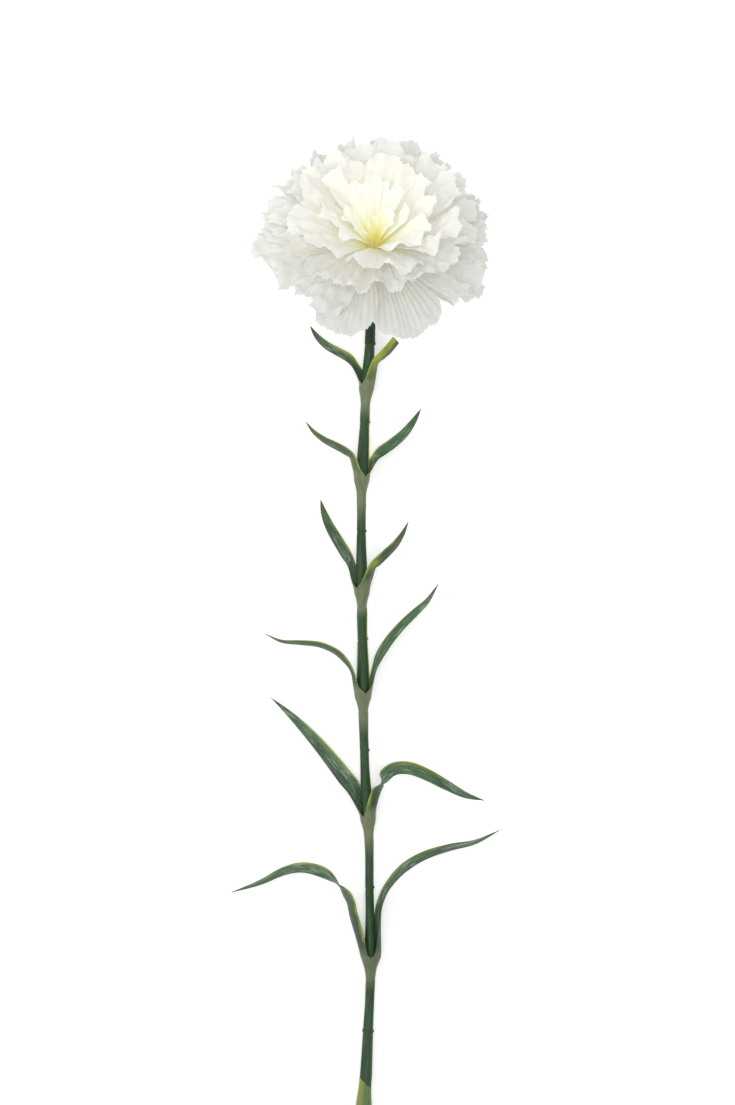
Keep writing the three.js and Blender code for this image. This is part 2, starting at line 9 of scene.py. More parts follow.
import bpy
import numpy as np
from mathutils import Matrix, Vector


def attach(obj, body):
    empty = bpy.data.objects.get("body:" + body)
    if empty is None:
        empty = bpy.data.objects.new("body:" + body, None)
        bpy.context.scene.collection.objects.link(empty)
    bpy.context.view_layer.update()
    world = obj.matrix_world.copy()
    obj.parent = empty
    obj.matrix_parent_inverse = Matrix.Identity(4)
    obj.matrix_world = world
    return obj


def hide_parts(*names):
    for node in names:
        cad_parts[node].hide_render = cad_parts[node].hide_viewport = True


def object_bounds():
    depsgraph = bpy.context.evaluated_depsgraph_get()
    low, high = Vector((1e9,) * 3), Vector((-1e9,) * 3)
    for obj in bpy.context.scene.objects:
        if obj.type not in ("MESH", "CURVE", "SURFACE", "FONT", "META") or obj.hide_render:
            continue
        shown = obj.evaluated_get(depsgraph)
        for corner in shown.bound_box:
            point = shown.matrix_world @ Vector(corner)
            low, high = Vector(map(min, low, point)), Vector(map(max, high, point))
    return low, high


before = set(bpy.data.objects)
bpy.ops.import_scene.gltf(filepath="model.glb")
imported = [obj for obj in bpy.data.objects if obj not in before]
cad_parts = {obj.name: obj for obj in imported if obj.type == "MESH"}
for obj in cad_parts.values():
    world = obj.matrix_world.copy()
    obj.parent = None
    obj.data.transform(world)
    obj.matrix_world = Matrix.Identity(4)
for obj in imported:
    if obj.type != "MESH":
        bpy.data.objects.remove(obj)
CAD_BOX = [list(corner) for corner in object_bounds()]

MM = 0.001
DEG = math.pi / 180
UP = np.array([0.0, 0.0, 1.0])

# ---- Sizes shared with the CAD model, in millimetres and degrees ----

PETAL_REACH = 45
MOUTH = np.array([3.3, 170.2, 30.4])
FACE_ELEVATION = 50
SIDE_LEAN = 3
CALYX_LENGTH = 27
CALYX_INNER_RADIUS = 6.1
CALYX_OUTER_RADIUS = 6.8
CALYX_FOOT_RADIUS = 2.6
CALYX_FLOOR = -14
CALYX_THROAT = -6
CALYX_TEETH = 5
TOOTH_HEIGHT = 4.5
TOOTH_FLARE = 0.03
# Radius and height, up the outside of the calyx.
CALYX_FOOT = [[4.6, -25.4], [5.7, -22], [6.4, -16]]
# Height, radius and half width in degrees, up a scale.
BRACT_LEVELS = [
    [-26.2, 4.1, 34], [-23.5, 5.4, 40], [-20, 6.1, 37], [-16.5, 6.55, 26], [-13, 6.85, 12],
    [-11, 7.1, 2.5],
]
BRACT_THICKNESS = 0.5
BRACT_AZIMUTHS = [0, 90, 180, 270]
SEAT_GAP = 0.4
BEND_RADIUS = 9
BEND_HEIGHT = 3


def chance(index, salt):
    """A repeatable number from 0 to 1."""
    x = math.sin(index * 12.9898 + salt * 78.233) * 43758.5453
    return x - math.floor(x)


# Whorls from the outside in: name, how far the claws stand from the axis, and the petals.
# A petal has its azimuth, opening angle, reach and perhaps its greatest half width.
WHORLS = [
    ("guard", 5.6, [
        (-107, 99, 1.01, 17), (-72, 99, 1.03, 21), (-21, 100, 0.92), (30, 98, 0.9),
        (68, 106, 0.98), (106, 106, 0.98), (145, 103, 0.93), (-174, 99, 0.95)]),
    ("outer", 4.8, [
        (-131, 91, 0.99, 24), (-33, 91, 0.95, 19), (12, 87, 0.93), (54, 83, 0.93),
        (91, 82, 0.95), (127, 83, 0.93), (160, 85, 0.93)]),
    ("wide", 4.1, [
        (-119, 79, 0.9, 23.5), (-72, 71, 0.89, 22.5), (-23, 73, 0.9, 22), (22, 71, 0.9),
        (60, 70, 0.95), (106, 70, 0.88), (146, 71, 0.9), (-174, 74, 0.93, 20)]),
    ("middle", 3.4, [
        (-84, 62, 0.89), (-24, 57, 0.93), (32, 56, 0.92), (88, 54, 0.89), (144, 56, 0.9),
        (-156, 60, 0.9)]),
    ("inner", 2.6, [
        (-42, 46, 0.72), (20, 43, 0.78), (76, 40, 0.8), (132, 42, 0.78), (-166, 47, 0.72)]),
    ("upright", 1.8, [
        (-4, 34, 0.56, 32), (56, 29, 0.62), (112, 30, 0.68), (180, 37, 0.52, 27)]),
    ("centre", 1.0, [
        (30, 20, 0.42), (113, 20, 0.31), (-170, 22, 0.21, 26)]),
]
PETAL_OVERLAP = 1.18
WIDEST_HALF = 24
PINWHEEL = 2.1
RECURVE = 9
CUPPING = 1.2
NARROW_SHARE = 0.72

# Points on the stem's middle, from the cut end to below the neck.
STEM_PATH = [
    [-3.4, -214.6, 1.66], [-2.5, -195, 2.6], [-1.3, -173, 3.43], [0.1, -151.5, 3.7],
    [1.0, -133, 3.9], [1.9, -114.5, 4.1], [1.9, -94.6, 4.3], [1.5, -76.6, 4.6],
    [1.4, -60, 4.9], [0.8, -46, 5.1], [0.0, -34.5, 5.3], [-0.5, -21, 5.5],
    [-0.9, -5.5, 5.8], [-1.0, 10.5, 6.0], [-1.3, 28, 6.3], [-1.4, 41.5, 6.5],
    [-1.7, 57, 6.7], [-1.6, 74.5, 6.7], [-1.2, 88.5, 6.5], [-0.5, 102, 6.1],
    [0.2, 115.5, 5.5], [1.2, 127, 4.8], [1.7, 136, 4.3],
]
NECK_START = [1.9, 143.5, 4.0]
STEM_RADIUS = 1.65
NODE_RADIUS = 2.3
SWELL_LENGTH = 22
SHOULDER_RADIUS = 1.85
SHOULDER_LENGTH = 10
WAIST_RADIUS = 1.3
# Places along Y of the stripped leaf base and of the six pairs of leaves.
NODE_STATIONS = [-173, -104, -48, 0, 41, 84.5, 120]
# How much thicker the stem is at some places along Y.
STOUT_PLACES = [-173, -165, -158, -150, -122, -112]
STOUT_RADII = [0, 0.25, 0.5, 0.7, 0.15, 0]
CUT_SLANT = 1.6

# Name, node, side it grows from, width, which way it faces at its middle and at its tip, and
# the points of its midrib once it leaves the stem.
LEAVES = [
    ("leaf_6_left", 1, 180, 5.5, (-146, -132), [
        [-5.0, -88, 5.4], [-6.4, -81.5, 7.0], [-9.8, -76, 8.4], [-16, -70.8, 9.2],
        [-23.8, -68.6, 8.8], [-31.6, -70, 6.8], [-41.2, -74.6, 3.4], [-52.3, -78.6, 0.22]]),
    ("leaf_6_right", 1, 0, 5.2, (134, 128), [
        [5.4, -88, 5.2], [6.6, -81, 6.4], [9.8, -74.6, 7.8], [15.5, -68.4, 8.8],
        [23.3, -63.8, 8.8], [33, -60.8, 6.8], [42.8, -58.8, 3.4], [52.3, -54.4, 0.22]]),
    ("leaf_5_left", 2, 215, 6.8, (-172, -166), [
        [-4.6, -38.5, 3.4], [-8.2, -33.4, 2.9], [-12.8, -27.4, 2.7], [-18.9, -20, 2.6],
        [-25.2, -13.2, 2.6], [-31.2, -7.4, 2.6], [-37, -2.4, 3.0]]),
    ("leaf_5_right", 2, 35, 5.8, (150, 160), [
        [4.6, -39.5, 8.6], [6.2, -35.6, 10.8], [8.2, -32, 12.4], [12, -29.8, 12.8],
        [17.6, -29.9, 11.6], [24, -32.4, 9.6], [31.4, -36.4, 6.8], [39, -40.4, 4.2],
        [46.3, -42.6, 2.4]]),
    ("leaf_4_left", 3, 165, 4.5, (-58, -60), [
        [-5.2, 7.6, 8.4], [-7.9, 12, 9.8], [-11.8, 15.6, 10.8], [-17.8, 18.2, 11.2],
        [-25.2, 19, 10.4], [-32.6, 19.6, 9.2], [-38.9, 22.4, 8.2]]),
    ("leaf_4_right", 3, -15, 4.9, (136, 136), [
        [3.4, 8, 5.2], [5.4, 13.4, 5.2], [8.9, 19.2, 5.0], [13.8, 25.2, 4.8],
        [19.3, 30.6, 4.4], [24.2, 35.4, 4.2], [28.4, 41.9, 4.4]]),
    ("leaf_3_left", 4, 215, 4.9, (-150, -146), [
        [-5.4, 49, 4.8], [-7.7, 53.6, 4.4], [-10.7, 58.6, 4.2], [-13.8, 64, 4.4],
        [-16.1, 69.4, 5.0], [-17.5, 74.8, 6.2]]),
    ("leaf_3_right", 4, 38, 4.7, (44, 52), [
        [2.6, 48.2, 11.0], [4.8, 50.6, 12.0], [8.2, 53.8, 12.8], [11.7, 57.4, 13.4],
        [14.4, 61.4, 13.6], [16.7, 66.2, 13.4]]),
    ("leaf_2_left", 5, 150, 4.8, (-54, -60), [
        [-5.2, 91.2, 10.8], [-8, 93.6, 12.0], [-12, 95.8, 13.0], [-16.2, 98, 13.4],
        [-20.2, 101.2, 13.0], [-23.2, 105, 12.2]]),
    ("leaf_2_right", 5, -30, 5.0, (144, 140), [
        [3.8, 91, 6.0], [6.4, 93.6, 5.8], [10.8, 96.8, 5.6], [15.1, 100.6, 5.6],
        [18.6, 105.1, 6.0], [21.6, 110.2, 6.8]]),
    ("leaf_1_left", 6, 215, 4.6, (-138, -140), [
        [-4.0, 127, 4.6], [-6.6, 130, 5.2], [-10.8, 132.4, 6.2], [-15.2, 134.9, 7.6],
        [-18.8, 138.2, 9.2], [-21.6, 142.4, 11.0]]),
    ("leaf_1_right", 6, 40, 4.8, (70, 96), [
        [4.2, 127.6, 9.8], [6.4, 130.4, 11.4], [8.9, 133, 12.6], [11.2, 135.8, 13.0],
        [13.0, 138.2, 12.2], [14.0, 139.6, 10.2]]),
]
SHEATH_LENGTH = 8
SHEATH_THICKNESS = 0.5
LEAF_THICKNESS = 0.7
CHANNEL_RADIUS = 12
STUB_LENGTH = 30
STUB_HALF_ANGLE = 166
STUB_SLANT = 4.5
STUB_TAPER_FROM = 0.6
# The next two are smaller than in the CAD, so that the rim lies flush with the stem.
STUB_RIM_GAP = 0.0
STUB_RIM_THICKNESS = 0.16

# ---- Small helpers ----

SHARP_EDGE = 55 * DEG  # faces that meet at more than this are shaded apart


def lerp(a, b, t):
    return a + (b - a) * t


def smoothstep(x, low, high):
    t = np.clip((x - low) / (high - low), 0, 1)
    return t * t * (3 - 2 * t)


def unit(v):
    return v / np.linalg.norm(v)


def curve_point(points, t):
    """A Catmull-Rom curve through the points, at a share t of its spans."""
    p = np.array(points, float)
    p = np.concatenate([[2 * p[0] - p[1]], p, [2 * p[-1] - p[-2]]])
    spans = len(p) - 3
    i = min(int(t * spans), spans - 1)
    w = t * spans - i
    p0, p1, p2, p3 = p[i:i + 4]
    t0, t1 = 0.5 * (p2 - p0), 0.5 * (p3 - p1)
    return (
        p1 + t0 * w + (3 * (p2 - p1) - 2 * t0 - t1) * w ** 2
        + (2 * (p1 - p2) + t0 + t1) * w ** 3
    )


def curve_tangent(points, t):
    step = 1e-4
    return unit(curve_point(points, min(1, t + step)) - curve_point(points, max(0, t - step)))


def laid_flat(across, along, layer=0.0):
    """Places in millimetres on a surface laid flat. Each layer gets a pattern of its own."""
    return np.stack(np.broadcast_arrays(across, along, float(layer)), -1)


def add_object(name, data):
    made = bpy.data.objects.new(name, data)
    bpy.context.scene.collection.objects.link(made)
    return made


def closed_mesh(name, points, faces, fields, flat):
    """A closed mesh that faces outwards.

    A field gives each point one number for the material. `flat` gives it a place on the
    surface laid flat, which the material's creases and stripes follow.
    """
    points = np.asarray(points, float).reshape(-1, 3)
    a, b, c = (points[faces[:, k]] for k in range(3))
    volume = np.einsum("ij,ij->", a, np.cross(b, c))
    if faces.shape[1] == 4:
        volume += np.einsum("ij,ij->", a, np.cross(c, points[faces[:, 3]]))
    if volume < 0:
        faces = faces[:, ::-1]
    mesh = bpy.data.meshes.new(name)
    mesh.from_pydata((points * MM).tolist(), [], faces.tolist())
    mesh.validate()
    for key, values in fields.items():
        layer = mesh.attributes.new(key, "FLOAT", "POINT")
        layer.data.foreach_set("value", np.asarray(values, np.float32).ravel())
    layer = mesh.attributes.new("flat", "FLOAT_VECTOR", "POINT")
    layer.data.foreach_set("vector", np.asarray(flat, np.float32).ravel())
    mesh.shade_smooth()
    mesh.set_sharp_from_angle(angle=SHARP_EDGE)
    return add_object(name, mesh)


def joined(*corners):
    """Faces from grids of numbers of points, one grid for each corner."""
    return np.stack([corner.ravel() for corner in corners], 1)


def sheet(name, front, back, fields, flat):
    """A thin closed sheet between two grids of points.

    Fields and `flat` hold for both sides, unless a field has two numbers, one a side.
    """
    rows, columns = front.shape[:2]
    a = np.arange(rows * columns).reshape(rows, columns)
    b = a + rows * columns
    faces = np.vstack([
        joined(a[:-1, :-1], a[:-1, 1:], a[1:, 1:], a[1:, :-1]),
        joined(b[:-1, :-1], b[1:, :-1], b[1:, 1:], b[:-1, 1:]),
        joined(a[:-1, 0], a[1:, 0], b[1:, 0], b[:-1, 0]),
        joined(a[:-1, -1], b[:-1, -1], b[1:, -1], a[1:, -1]),
        joined(a[0, :-1], b[0, :-1], b[0, 1:], a[0, 1:]),
        joined(a[-1, :-1], a[-1, 1:], b[-1, 1:], b[-1, :-1]),
    ])
    both = (2, rows, columns)
    full = {key: np.broadcast_to(values, both) for key, values in fields.items()}
    return closed_mesh(name, [front, back], faces, full, np.broadcast_to(flat, (*both, 3)))


def tube(name, rings, fields, flat):
    """A closed tube through rings of points. Each end is closed by a fan round its middle."""
    rows, sides = rings.shape[:2]
    at = np.arange(rows * sides).reshape(rows, sides)
    nxt = np.roll(at, -1, axis=1)
    first = np.full(sides, rows * sides)
    faces = np.vstack([
        joined(at[:-1], nxt[:-1], nxt[1:]), joined(at[:-1], nxt[1:], at[1:]),
        joined(first, nxt[0], at[0]), joined(first + 1, at[-1], nxt[-1]),
    ])
    points = np.vstack([rings.reshape(-1, 3), rings[0].mean(0), rings[-1].mean(0)])
    full = {}
    for key, values in fields.items():
        values = np.broadcast_to(values, (rows, sides))
        full[key] = np.concatenate([values.ravel(), [values[0].mean(), values[-1].mean()]])
    flat = flat.reshape(-1, 3)
    return closed_mesh(name, points, faces, full, np.vstack([flat, flat[-1:], flat[-1:]]))


def hand_over(piece, material, slot, *nodes):
    """Give a piece its material and the place of its CAD node."""
    piece.data.materials.append(material)
    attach(piece, "root")
    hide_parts(*nodes)


# ---- Materials ----

# Colours are linear red, green and blue.
PETAL_COLOURS = [  # by how yellow a place is
    (0.0, (0.92, 0.916, 0.875)), (0.3, (0.93, 0.928, 0.80)), (0.6, (0.97, 0.926, 0.485)),
    (1.0, (0.98, 0.84, 0.02)),
]
PETAL_CREAM = (1.0, 0.997, 0.955)
# The grey of the painted shade on the petals.
PAINTED_SHADE_GREY = (0.665, 0.667, 0.695)
PALE_GREEN = (0.19, 0.222, 0.118)  # the clasping bases and the stem just below them


def node_material(name):
    material = bpy.data.materials.new(name)
    material.use_nodes = True
    return material, material.node_tree.nodes["Principled BSDF"]


def feed(node, inputs):
    """Give a node its inputs, each a socket to link or a plain value. Colours have no alpha."""
    for key, value in inputs.items():
        socket = node.inputs[key]
        if isinstance(value, bpy.types.NodeSocket):
            node.id_data.links.new(value, socket)
        else:
            socket.default_value = (*value, 1) if socket.type == "RGBA" else value


def add_node(near, kind, inputs, output=0, **settings):
    """The output of a new node in the same material as the node or socket `near`."""
    node = near.id_data.nodes.new(f"ShaderNode{kind}")
    for key, value in settings.items():
        setattr(node, key, value)
    feed(node, inputs)
    return node.outputs[output]


def attribute(near, name, output="Fac"):
    return add_node(near, "Attribute", {}, output, attribute_name=name)


def ramp(factor, stops):
    """A colour ramp: stops are (place, colour)."""
    node = factor.id_data.nodes.new("ShaderNodeValToRGB")
    elements = node.color_ramp.elements
    while len(elements) < len(stops):
        elements.new(0.5)
    for element, (place, colour) in zip(elements, stops):
        element.position = place
        element.color = (*colour, 1)
    feed(node, {"Fac": factor})
    return node.outputs["Color"]


def mixed(factor, a, b, blend="MIX"):
    inputs = {0: factor, 6: a, 7: b}
    return add_node(factor, "Mix", inputs, 2, data_type="RGBA", blend_type=blend)


def painted(colour, layers):
    """A colour with layers over it, each where its factor says."""
    for factor, paint in layers:
        colour = mixed(factor, colour, paint)
    return colour


def math_node(operation, a, b):
    near = a if isinstance(a, bpy.types.NodeSocket) else b
    return add_node(near, "Math", {0: a, 1: b}, operation=operation)


def times(a, b):
    return math_node("MULTIPLY", a, b)


def one_minus(value):
    return math_node("SUBTRACT", 1.0, value)


def map_range(value, low, high, to_low=0.0, to_high=1.0):
    inputs = dict(enumerate((value, low, high, to_low, to_high)))
    return add_node(value, "MapRange", inputs, interpolation_type="SMOOTHSTEP")


def noise(vector, scale, detail=3.0, stretch=(1, 1, 1), rough=0.5):
    vector = add_node(vector, "Mapping", {"Vector": vector, "Scale": stretch})
    inputs = {"Vector": vector, "Scale": scale, "Detail": detail, "Roughness": rough}
    return add_node(vector, "TexNoise", inputs, "Fac")


def blotches(vector, texture, low, high, least=0.0, most=1.0):
    """Noise turned into blotches: `least` where it is under `low`, `most` over `high`."""
    return map_range(noise(vector, *texture), low, high, least, most)


def bump(height, distance, **normal):
    """A normal bent by a height, whose full range stands for a distance in millimetres."""
    inputs = {"Height": height, "Strength": 1.0, "Distance": distance * MM, **normal}
    return add_node(height, "Bump", inputs, "Normal")


def petal_material():
    """Thin, matt and cream-white, with fine lengthwise creases and yellow at its foot; painted
    shade greys the outer whorls and a faint painted glow lights it.
    """
    material, shader = node_material("petal_white")
    flat = attribute(shader, "flat", "Vector")
    colour = ramp(attribute(shader, "glow"), PETAL_COLOURS)
    cloud = blotches(flat, (0.16, 3), 0.35, 0.7, 0.0, 0.8)
    colour = mixed(cloud, colour, PETAL_CREAM, "MULTIPLY")
    # Painted shade: the outer whorls greyer, most at the foot and top of the head and on its
    # right.
    colour = mixed(attribute(shader, "painted_shade"), colour, PAINTED_SHADE_GREY, "MULTIPLY")
    veins = noise(flat, 1.0, 3, (1.5, 0.09, 1), 0.6)
    crinkle = noise(flat, 0.7, 4, (1.0, 0.6, 1), 0.6)
    feed(shader, {
        "Base Color": colour, "Normal": bump(crinkle, 0.5, Normal=bump(veins, 0.22)),
        "Roughness": 0.78, "Specular IOR Level": 0.25, "Sheen Weight": 0.1,
        "Subsurface Weight": 1.0, "Subsurface Radius": (1.0, 1.0, 1.0),
        "Subsurface Scale": 0.0004,
        # Painted light: the petals glow a little of their own, in place of light that comes
        # through them from behind.
        "Emission Color": (1.0, 0.99, 0.94), "Emission Strength": 0.125,
    })
    return material


def bleached(flat, pale):
    """The layer of pale green, a little uneven, where the mesh says that it is pale."""
    soft = blotches(flat, (0.9, 4, (1.5, 0.2, 1)), 0.32, 0.62, 0.66, 1.0)
    return times(pale, soft), PALE_GREEN


def waxy(shader, flat, colour, roughness, ribs, rib_height, specular):
    """A surface with uneven gloss, lengthwise ribs and a fine grain."""
    ribbed = bump(noise(flat, 1.0, 3, ribs, 0.6), rib_height)
    feed(shader, {
        "Base Color": colour, "Specular IOR Level": specular,
        "Roughness": blotches(flat, (1.2, 3), 0.3, 0.7, *roughness),
        "Normal": bump(noise(flat, 5.0, 2), 0.03, Normal=ribbed),
    })


def leaf_material():
    """Deep green with pale streaks inside, duller outside, lime along its upper edge, painted
    highlights inside and painted shade outside near the stem.
    """
    material, shader = node_material("leaf_green")
    flat = attribute(shader, "flat", "Vector")
    rim, inner, along, pale, lime = (
        attribute(shader, name) for name in ("rim", "inner", "along", "pale", "lime")
    )
    patches = blotches(flat, (0.3, 4, (1, 0.3, 1)), 0.38, 0.62, 0.0, 0.75)
    streaks = blotches(flat, (1.0, 4, (1.8, 0.14, 1), 0.65), 0.48, 0.7)
    speckle = blotches(flat, (3.2, 3, (1, 0.5, 1), 0.7), 0.52, 0.7)
    wax = math_node("MAXIMUM", streaks, times(speckle, 0.45))
    wax = times(wax, map_range(inner, 0, 1, 0.26, 0.62))
    # Painted highlights: whitish glints in patches on the inner face.
    glint_patches = blotches(flat, (0.22, 2, (1, 0.4, 1)), 0.48, 0.62)
    painted_glints = blotches(flat, (0.8, 3, (1.5, 0.3, 1), 0.6), 0.42, 0.68, 0.0, 0.48)
    painted_glints = times(times(glint_patches, painted_glints), inner)
    # Painted shade: the outer face darker near the stem.
    near_stem = map_range(along, 0.0, 0.3, 0.6, 0.0)
    shade = times(one_minus(inner), near_stem)
    cloud = blotches(flat, (0.5, 3, (1, 0.3, 1)), 0.3, 0.6, 0.45, 1.0)
    wander = times(noise(flat, 0.35, 3, (1, 0.5, 1)), 0.7)
    edge = math_node("ADD", rim, wander)
    bare = one_minus(pale)
    upper = times(map_range(edge, 0.98, 1.45, 0.0, 0.85), bare)
    lower = times(map_range(rim, -0.75, -1.0, 0.0, 0.6), bare)
    tip = map_range(along, 0.9, 1.0, 0.0, 0.75)
    colour = painted(mixed(inner, (0.076, 0.124, 0.062), (0.060, 0.136, 0.058)), [
        (patches, (0.030, 0.072, 0.031)), (wax, (0.31, 0.42, 0.28)),
        (painted_glints, (0.46, 0.55, 0.51)), (shade, (0.022, 0.040, 0.022)),
        bleached(flat, pale), (times(lime, cloud), (0.38, 0.45, 0.035)),
        (upper, (0.38, 0.44, 0.08)), (lower, (0.05, 0.06, 0.05)), (tip, (0.05, 0.05, 0.04)),
    ])
    waxy(shader, flat, colour, (0.36, 0.58), (3.5, 0.07, 1), 0.16, 0.35)
    return material


def stem_material():
    """Dark green with pale zones below each pair of leaves and lime lines along its sides."""
    material, shader = node_material("stem_green")
    flat = attribute(shader, "flat", "Vector")
    pale, line, cut, collar = (
        attribute(shader, name) for name in ("pale", "line", "cut", "collar")
    )
    patches = blotches(flat, (0.45, 4, (1, 0.25, 1)), 0.35, 0.7, 0.0, 0.8)
    streaks = blotches(flat, (1.0, 4, (2.4, 0.12, 1), 0.65), 0.52, 0.75, 0.0, 0.36)
    wander = times(noise(flat, 0.25, 3, (1, 0.5, 1)), 0.9)
    lime = map_range(math_node("ADD", line, wander), 0.6, 1.2, 0.0, 0.9)
    colour = painted(mixed(patches, (0.030, 0.078, 0.028), (0.015, 0.045, 0.017)), [
        (streaks, (0.19, 0.27, 0.16)), bleached(flat, pale), (lime, (0.42, 0.48, 0.10)),
        (collar, (0.014, 0.032, 0.013)), (cut, (0.42, 0.46, 0.27)),
    ])
    waxy(shader, flat, colour, (0.4, 0.62), (3.0, 0.08, 1), 0.12, 0.3)
    return material


def sheath_material(name, low, high, stripe, left=None):
    """Pale green tissue with lengthwise stripes, and perhaps another colour on its left side."""
    material, shader = node_material(name)
    flat = attribute(shader, "flat", "Vector")
    stripes = blotches(flat, (1.0, 3, (1.9, 0.06, 1), 0.6), 0.42, 0.62, 0.0, 0.75)
    layers = [(stripes, stripe)]
    if left:
        layers.append((attribute(shader, "left"), left))
    colour = painted(mixed(attribute(shader, "along"), low, high), layers)
    ribbed = bump(noise(flat, 1.0, 3, (2.4, 0.06, 1), 0.6), 0.2)
    feed(shader, {"Base Color": colour, "Normal": ribbed, "Roughness": 0.5})
    return material


PETAL = petal_material()
LEAF = leaf_material()
STEM = stem_material()
SHEATH = sheath_material(
    "sheath_green", (0.07, 0.15, 0.035), (0.09, 0.16, 0.045), (0.16, 0.23, 0.07),
    left=(0.23, 0.26, 0.04),
)
CALYX = sheath_material(
    "calyx_green", (0.20, 0.30, 0.12), (0.30, 0.40, 0.20), (0.09, 0.17, 0.08),
)

# ---- The flower head ----

# Lists with seven numbers have one for each whorl, from the outside in.
# Waves round each whorl: how many, and how high at the edge in millimetres.
RUFFLES = [
    [(8, 1.0), (15, 1.3), (23, 1.7), (37, 1.0), (59, 0.5)],
    [(7, 1.2), (14, 1.5), (22, 2.0), (35, 1.1), (57, 0.5)],
    [(8, 1.2), (13, 1.6), (21, 2.1), (34, 1.1), (55, 0.5)],
    [(6, 1.3), (11, 1.8), (16, 2.0), (25, 0.7), (41, 0.2)],
    [(5, 1.2), (9, 1.6), (14, 1.7), (21, 0.5), (33, 0.15)],
    [(4, 0.9), (7, 1.2), (11, 1.3), (16, 0.4), (25, 0.1)],
    [(3, 0.6), (5, 0.8), (8, 0.8), (12, 0.2), (19, 0.1)],
]
RUFFLE_RISE = [2.6, 2.4, 2.2, 2.0, 1.7, 1.5, 1.3]  # how late along a petal its waves grow
FOLDED_WAVE = 2  # the wave whose sides turn in
PLEAT_PITCH = 2.85
PLEAT_HEIGHT = 0.24
PLEATING = [1.2, 1.0, 0.7, 0.35, 0.2, 0.1, 0.0]
CRUMPLE_HEIGHTS = [0.95, 1.0, 1.0, 0.9, 0.8, 0.6, 0.3]
CRIMP_HEIGHTS = [0.5, 0.52, 0.5, 0.36, 0.26, 0.18, 0.05]
TOOTH_PITCH = 1.35
TOOTH_SIZES = [1.0, 1.05, 1.05, 0.95, 0.8, 0.6, 0.3]
TOOTH_LEAST = 0.4
TOOTH_SPREAD = 0.8
TOOTH_SINK = 0.3
TOOTH_COLUMNS = 4
NOTCH_DEPTH = 4.2
NOTCH_WIDTH = 0.13
LOBES = [(1.4, 0.36, 1), (0.9, 0.83, 3)]  # height, waves a millimetre, and share of the seed
TRIMS = [0.1, 0.4, 1.3, 1.5, 1.0, 0.6, 0.4]  # takes up what the lobes and teeth add
STEM_TRIMS = [0.6, 1.5]  # more for the two guard petals over the stem, left and right
STEM_CORNERS = 5  # how much their corners are rounded
FAR_TRIM = 1.5  # more for the petals that make the top of the outline
CLOTH = 0.22  # how thick a petal is
FLOOR_SOFTNESS = 0.5
LEAST_HEIGHT = 0.15
PETAL_ROWS = [38, 38, 38, 38, 28, 28, 28]
CURL_REACH = 0.3  # a petal shorter than this share is the small curl in the middle
HEART_WHORL = 5  # this whorl and those inside it make the heart of the flower
# How yellow a petal is at each distance in millimetres from the mouth of the calyx.
YELLOW_PLACES = [0, 8, 12, 17, 28, 40]
YELLOW_SHARES = [1, 0.95, 0.55, 0.34, 0.15, 0]
FOOT_YELLOW = 0.3
PAINTED_SHADE_WHORLS = [1.0, 0.95, 0.8, 0.55, 0.25, 0.0, 0.0]  # how much painted shade greys a whorl
# Painted shade: greyest at the foot and the top of the head, and greyer on its right than on its
# left.
PAINTED_SHADE_LEVEL = 0.96
PAINTED_SHADE_TO_RIGHT = 0.11
PAINTED_SHADE_OFF_SIDES = 0.2


def turn(angle, a, b):
    """A turn that carries axis a towards axis b."""
    matrix = np.eye(3)
    matrix[a, a] = matrix[b, b] = math.cos(angle)
    matrix[b, a] = math.sin(angle)
    matrix[a, b] = -math.sin(angle)
    return matrix


HEAD_TURN = turn((FACE_ELEVATION - 90) * DEG, 1, 2) @ turn(SIDE_LEAN * DEG, 2, 0)


def from_head(radius, azimuth, height):
    """Points given round the head's axis, with heights above the mouth of the calyx."""
    points = np.broadcast_arrays(radius * np.cos(azimuth), radius * np.sin(azimuth), height)
    return MOUTH + np.stack(points, -1) @ HEAD_TURN.T


def profile(shape, run):
    """Radius, height and direction of a petal's midline, `run` millimetres past its bend."""
    bend = BEND_RADIUS - shape["claw"]
    first = shape["open"] - shape["recurve"]
    arc = bend * first
    wide = (shape["length"] - arc) / shape["recurve"]
    bent = run / bend
    stretches = [run <= 0, run < arc]  # the claw, its bend and then the wide part
    angle = np.select(stretches, [0.0, bent], first + (run - arc) / wide)
    radius = np.select(
        stretches, [shape["claw"], BEND_RADIUS - bend * np.cos(bent)],
        BEND_RADIUS - bend * math.cos(first) + wide * (math.cos(first) - np.cos(angle)),
    )
    height = np.select(
        stretches, [BEND_HEIGHT + run, BEND_HEIGHT + bend * np.sin(bent)],
        BEND_HEIGHT + bend * math.sin(first) + wide * (np.sin(angle) - math.sin(first)),
    )
    return radius, height, angle


def ruffle(number, azimuth, along):
    """The waves of a whorl, shared by its petals so that neighbours don't cut each other.

    The second result turns the sides of the waves in, so that they stand up as folds do.
    """
    lift, turn = 0, 0
    for wave, (count, size) in enumerate(RUFFLES[number]):
        phase = 2 * math.pi * chance(number, 10 + wave)
        drift = 5 * (chance(number, 20 + wave) - 0.5)
        swell = 0.75 + 0.5 * np.sin((2 + wave) * azimuth + 6 * chance(number, 25 + wave))
        angle = count * azimuth + phase + drift * along
        lift = lift + size * swell * np.sin(angle)
        if wave == FOLDED_WAVE:
            turn = -0.3 / count * np.sin(2 * angle)
    rise = along ** RUFFLE_RISE[number]
    return lift * rise, turn * rise


def crumple(shape, side, along):
    """A petal's own uneven folds, which die out at its sides."""
    seed = shape["seed"]
    total = 0
    for wave in range(5):
        across = 1.5 + 1.8 * wave + 2 * chance(seed, 30 + wave)
        down = 2 + 8 * chance(seed, 40 + wave)
        phase = 2 * math.pi * chance(seed, 50 + wave)
        total = total + np.sin(across * side + down * along + phase) / (1 + 0.3 * wave)
    return CRUMPLE_HEIGHTS[shape["number"]] * (total * (1 - side ** 2) * along ** 1.5)


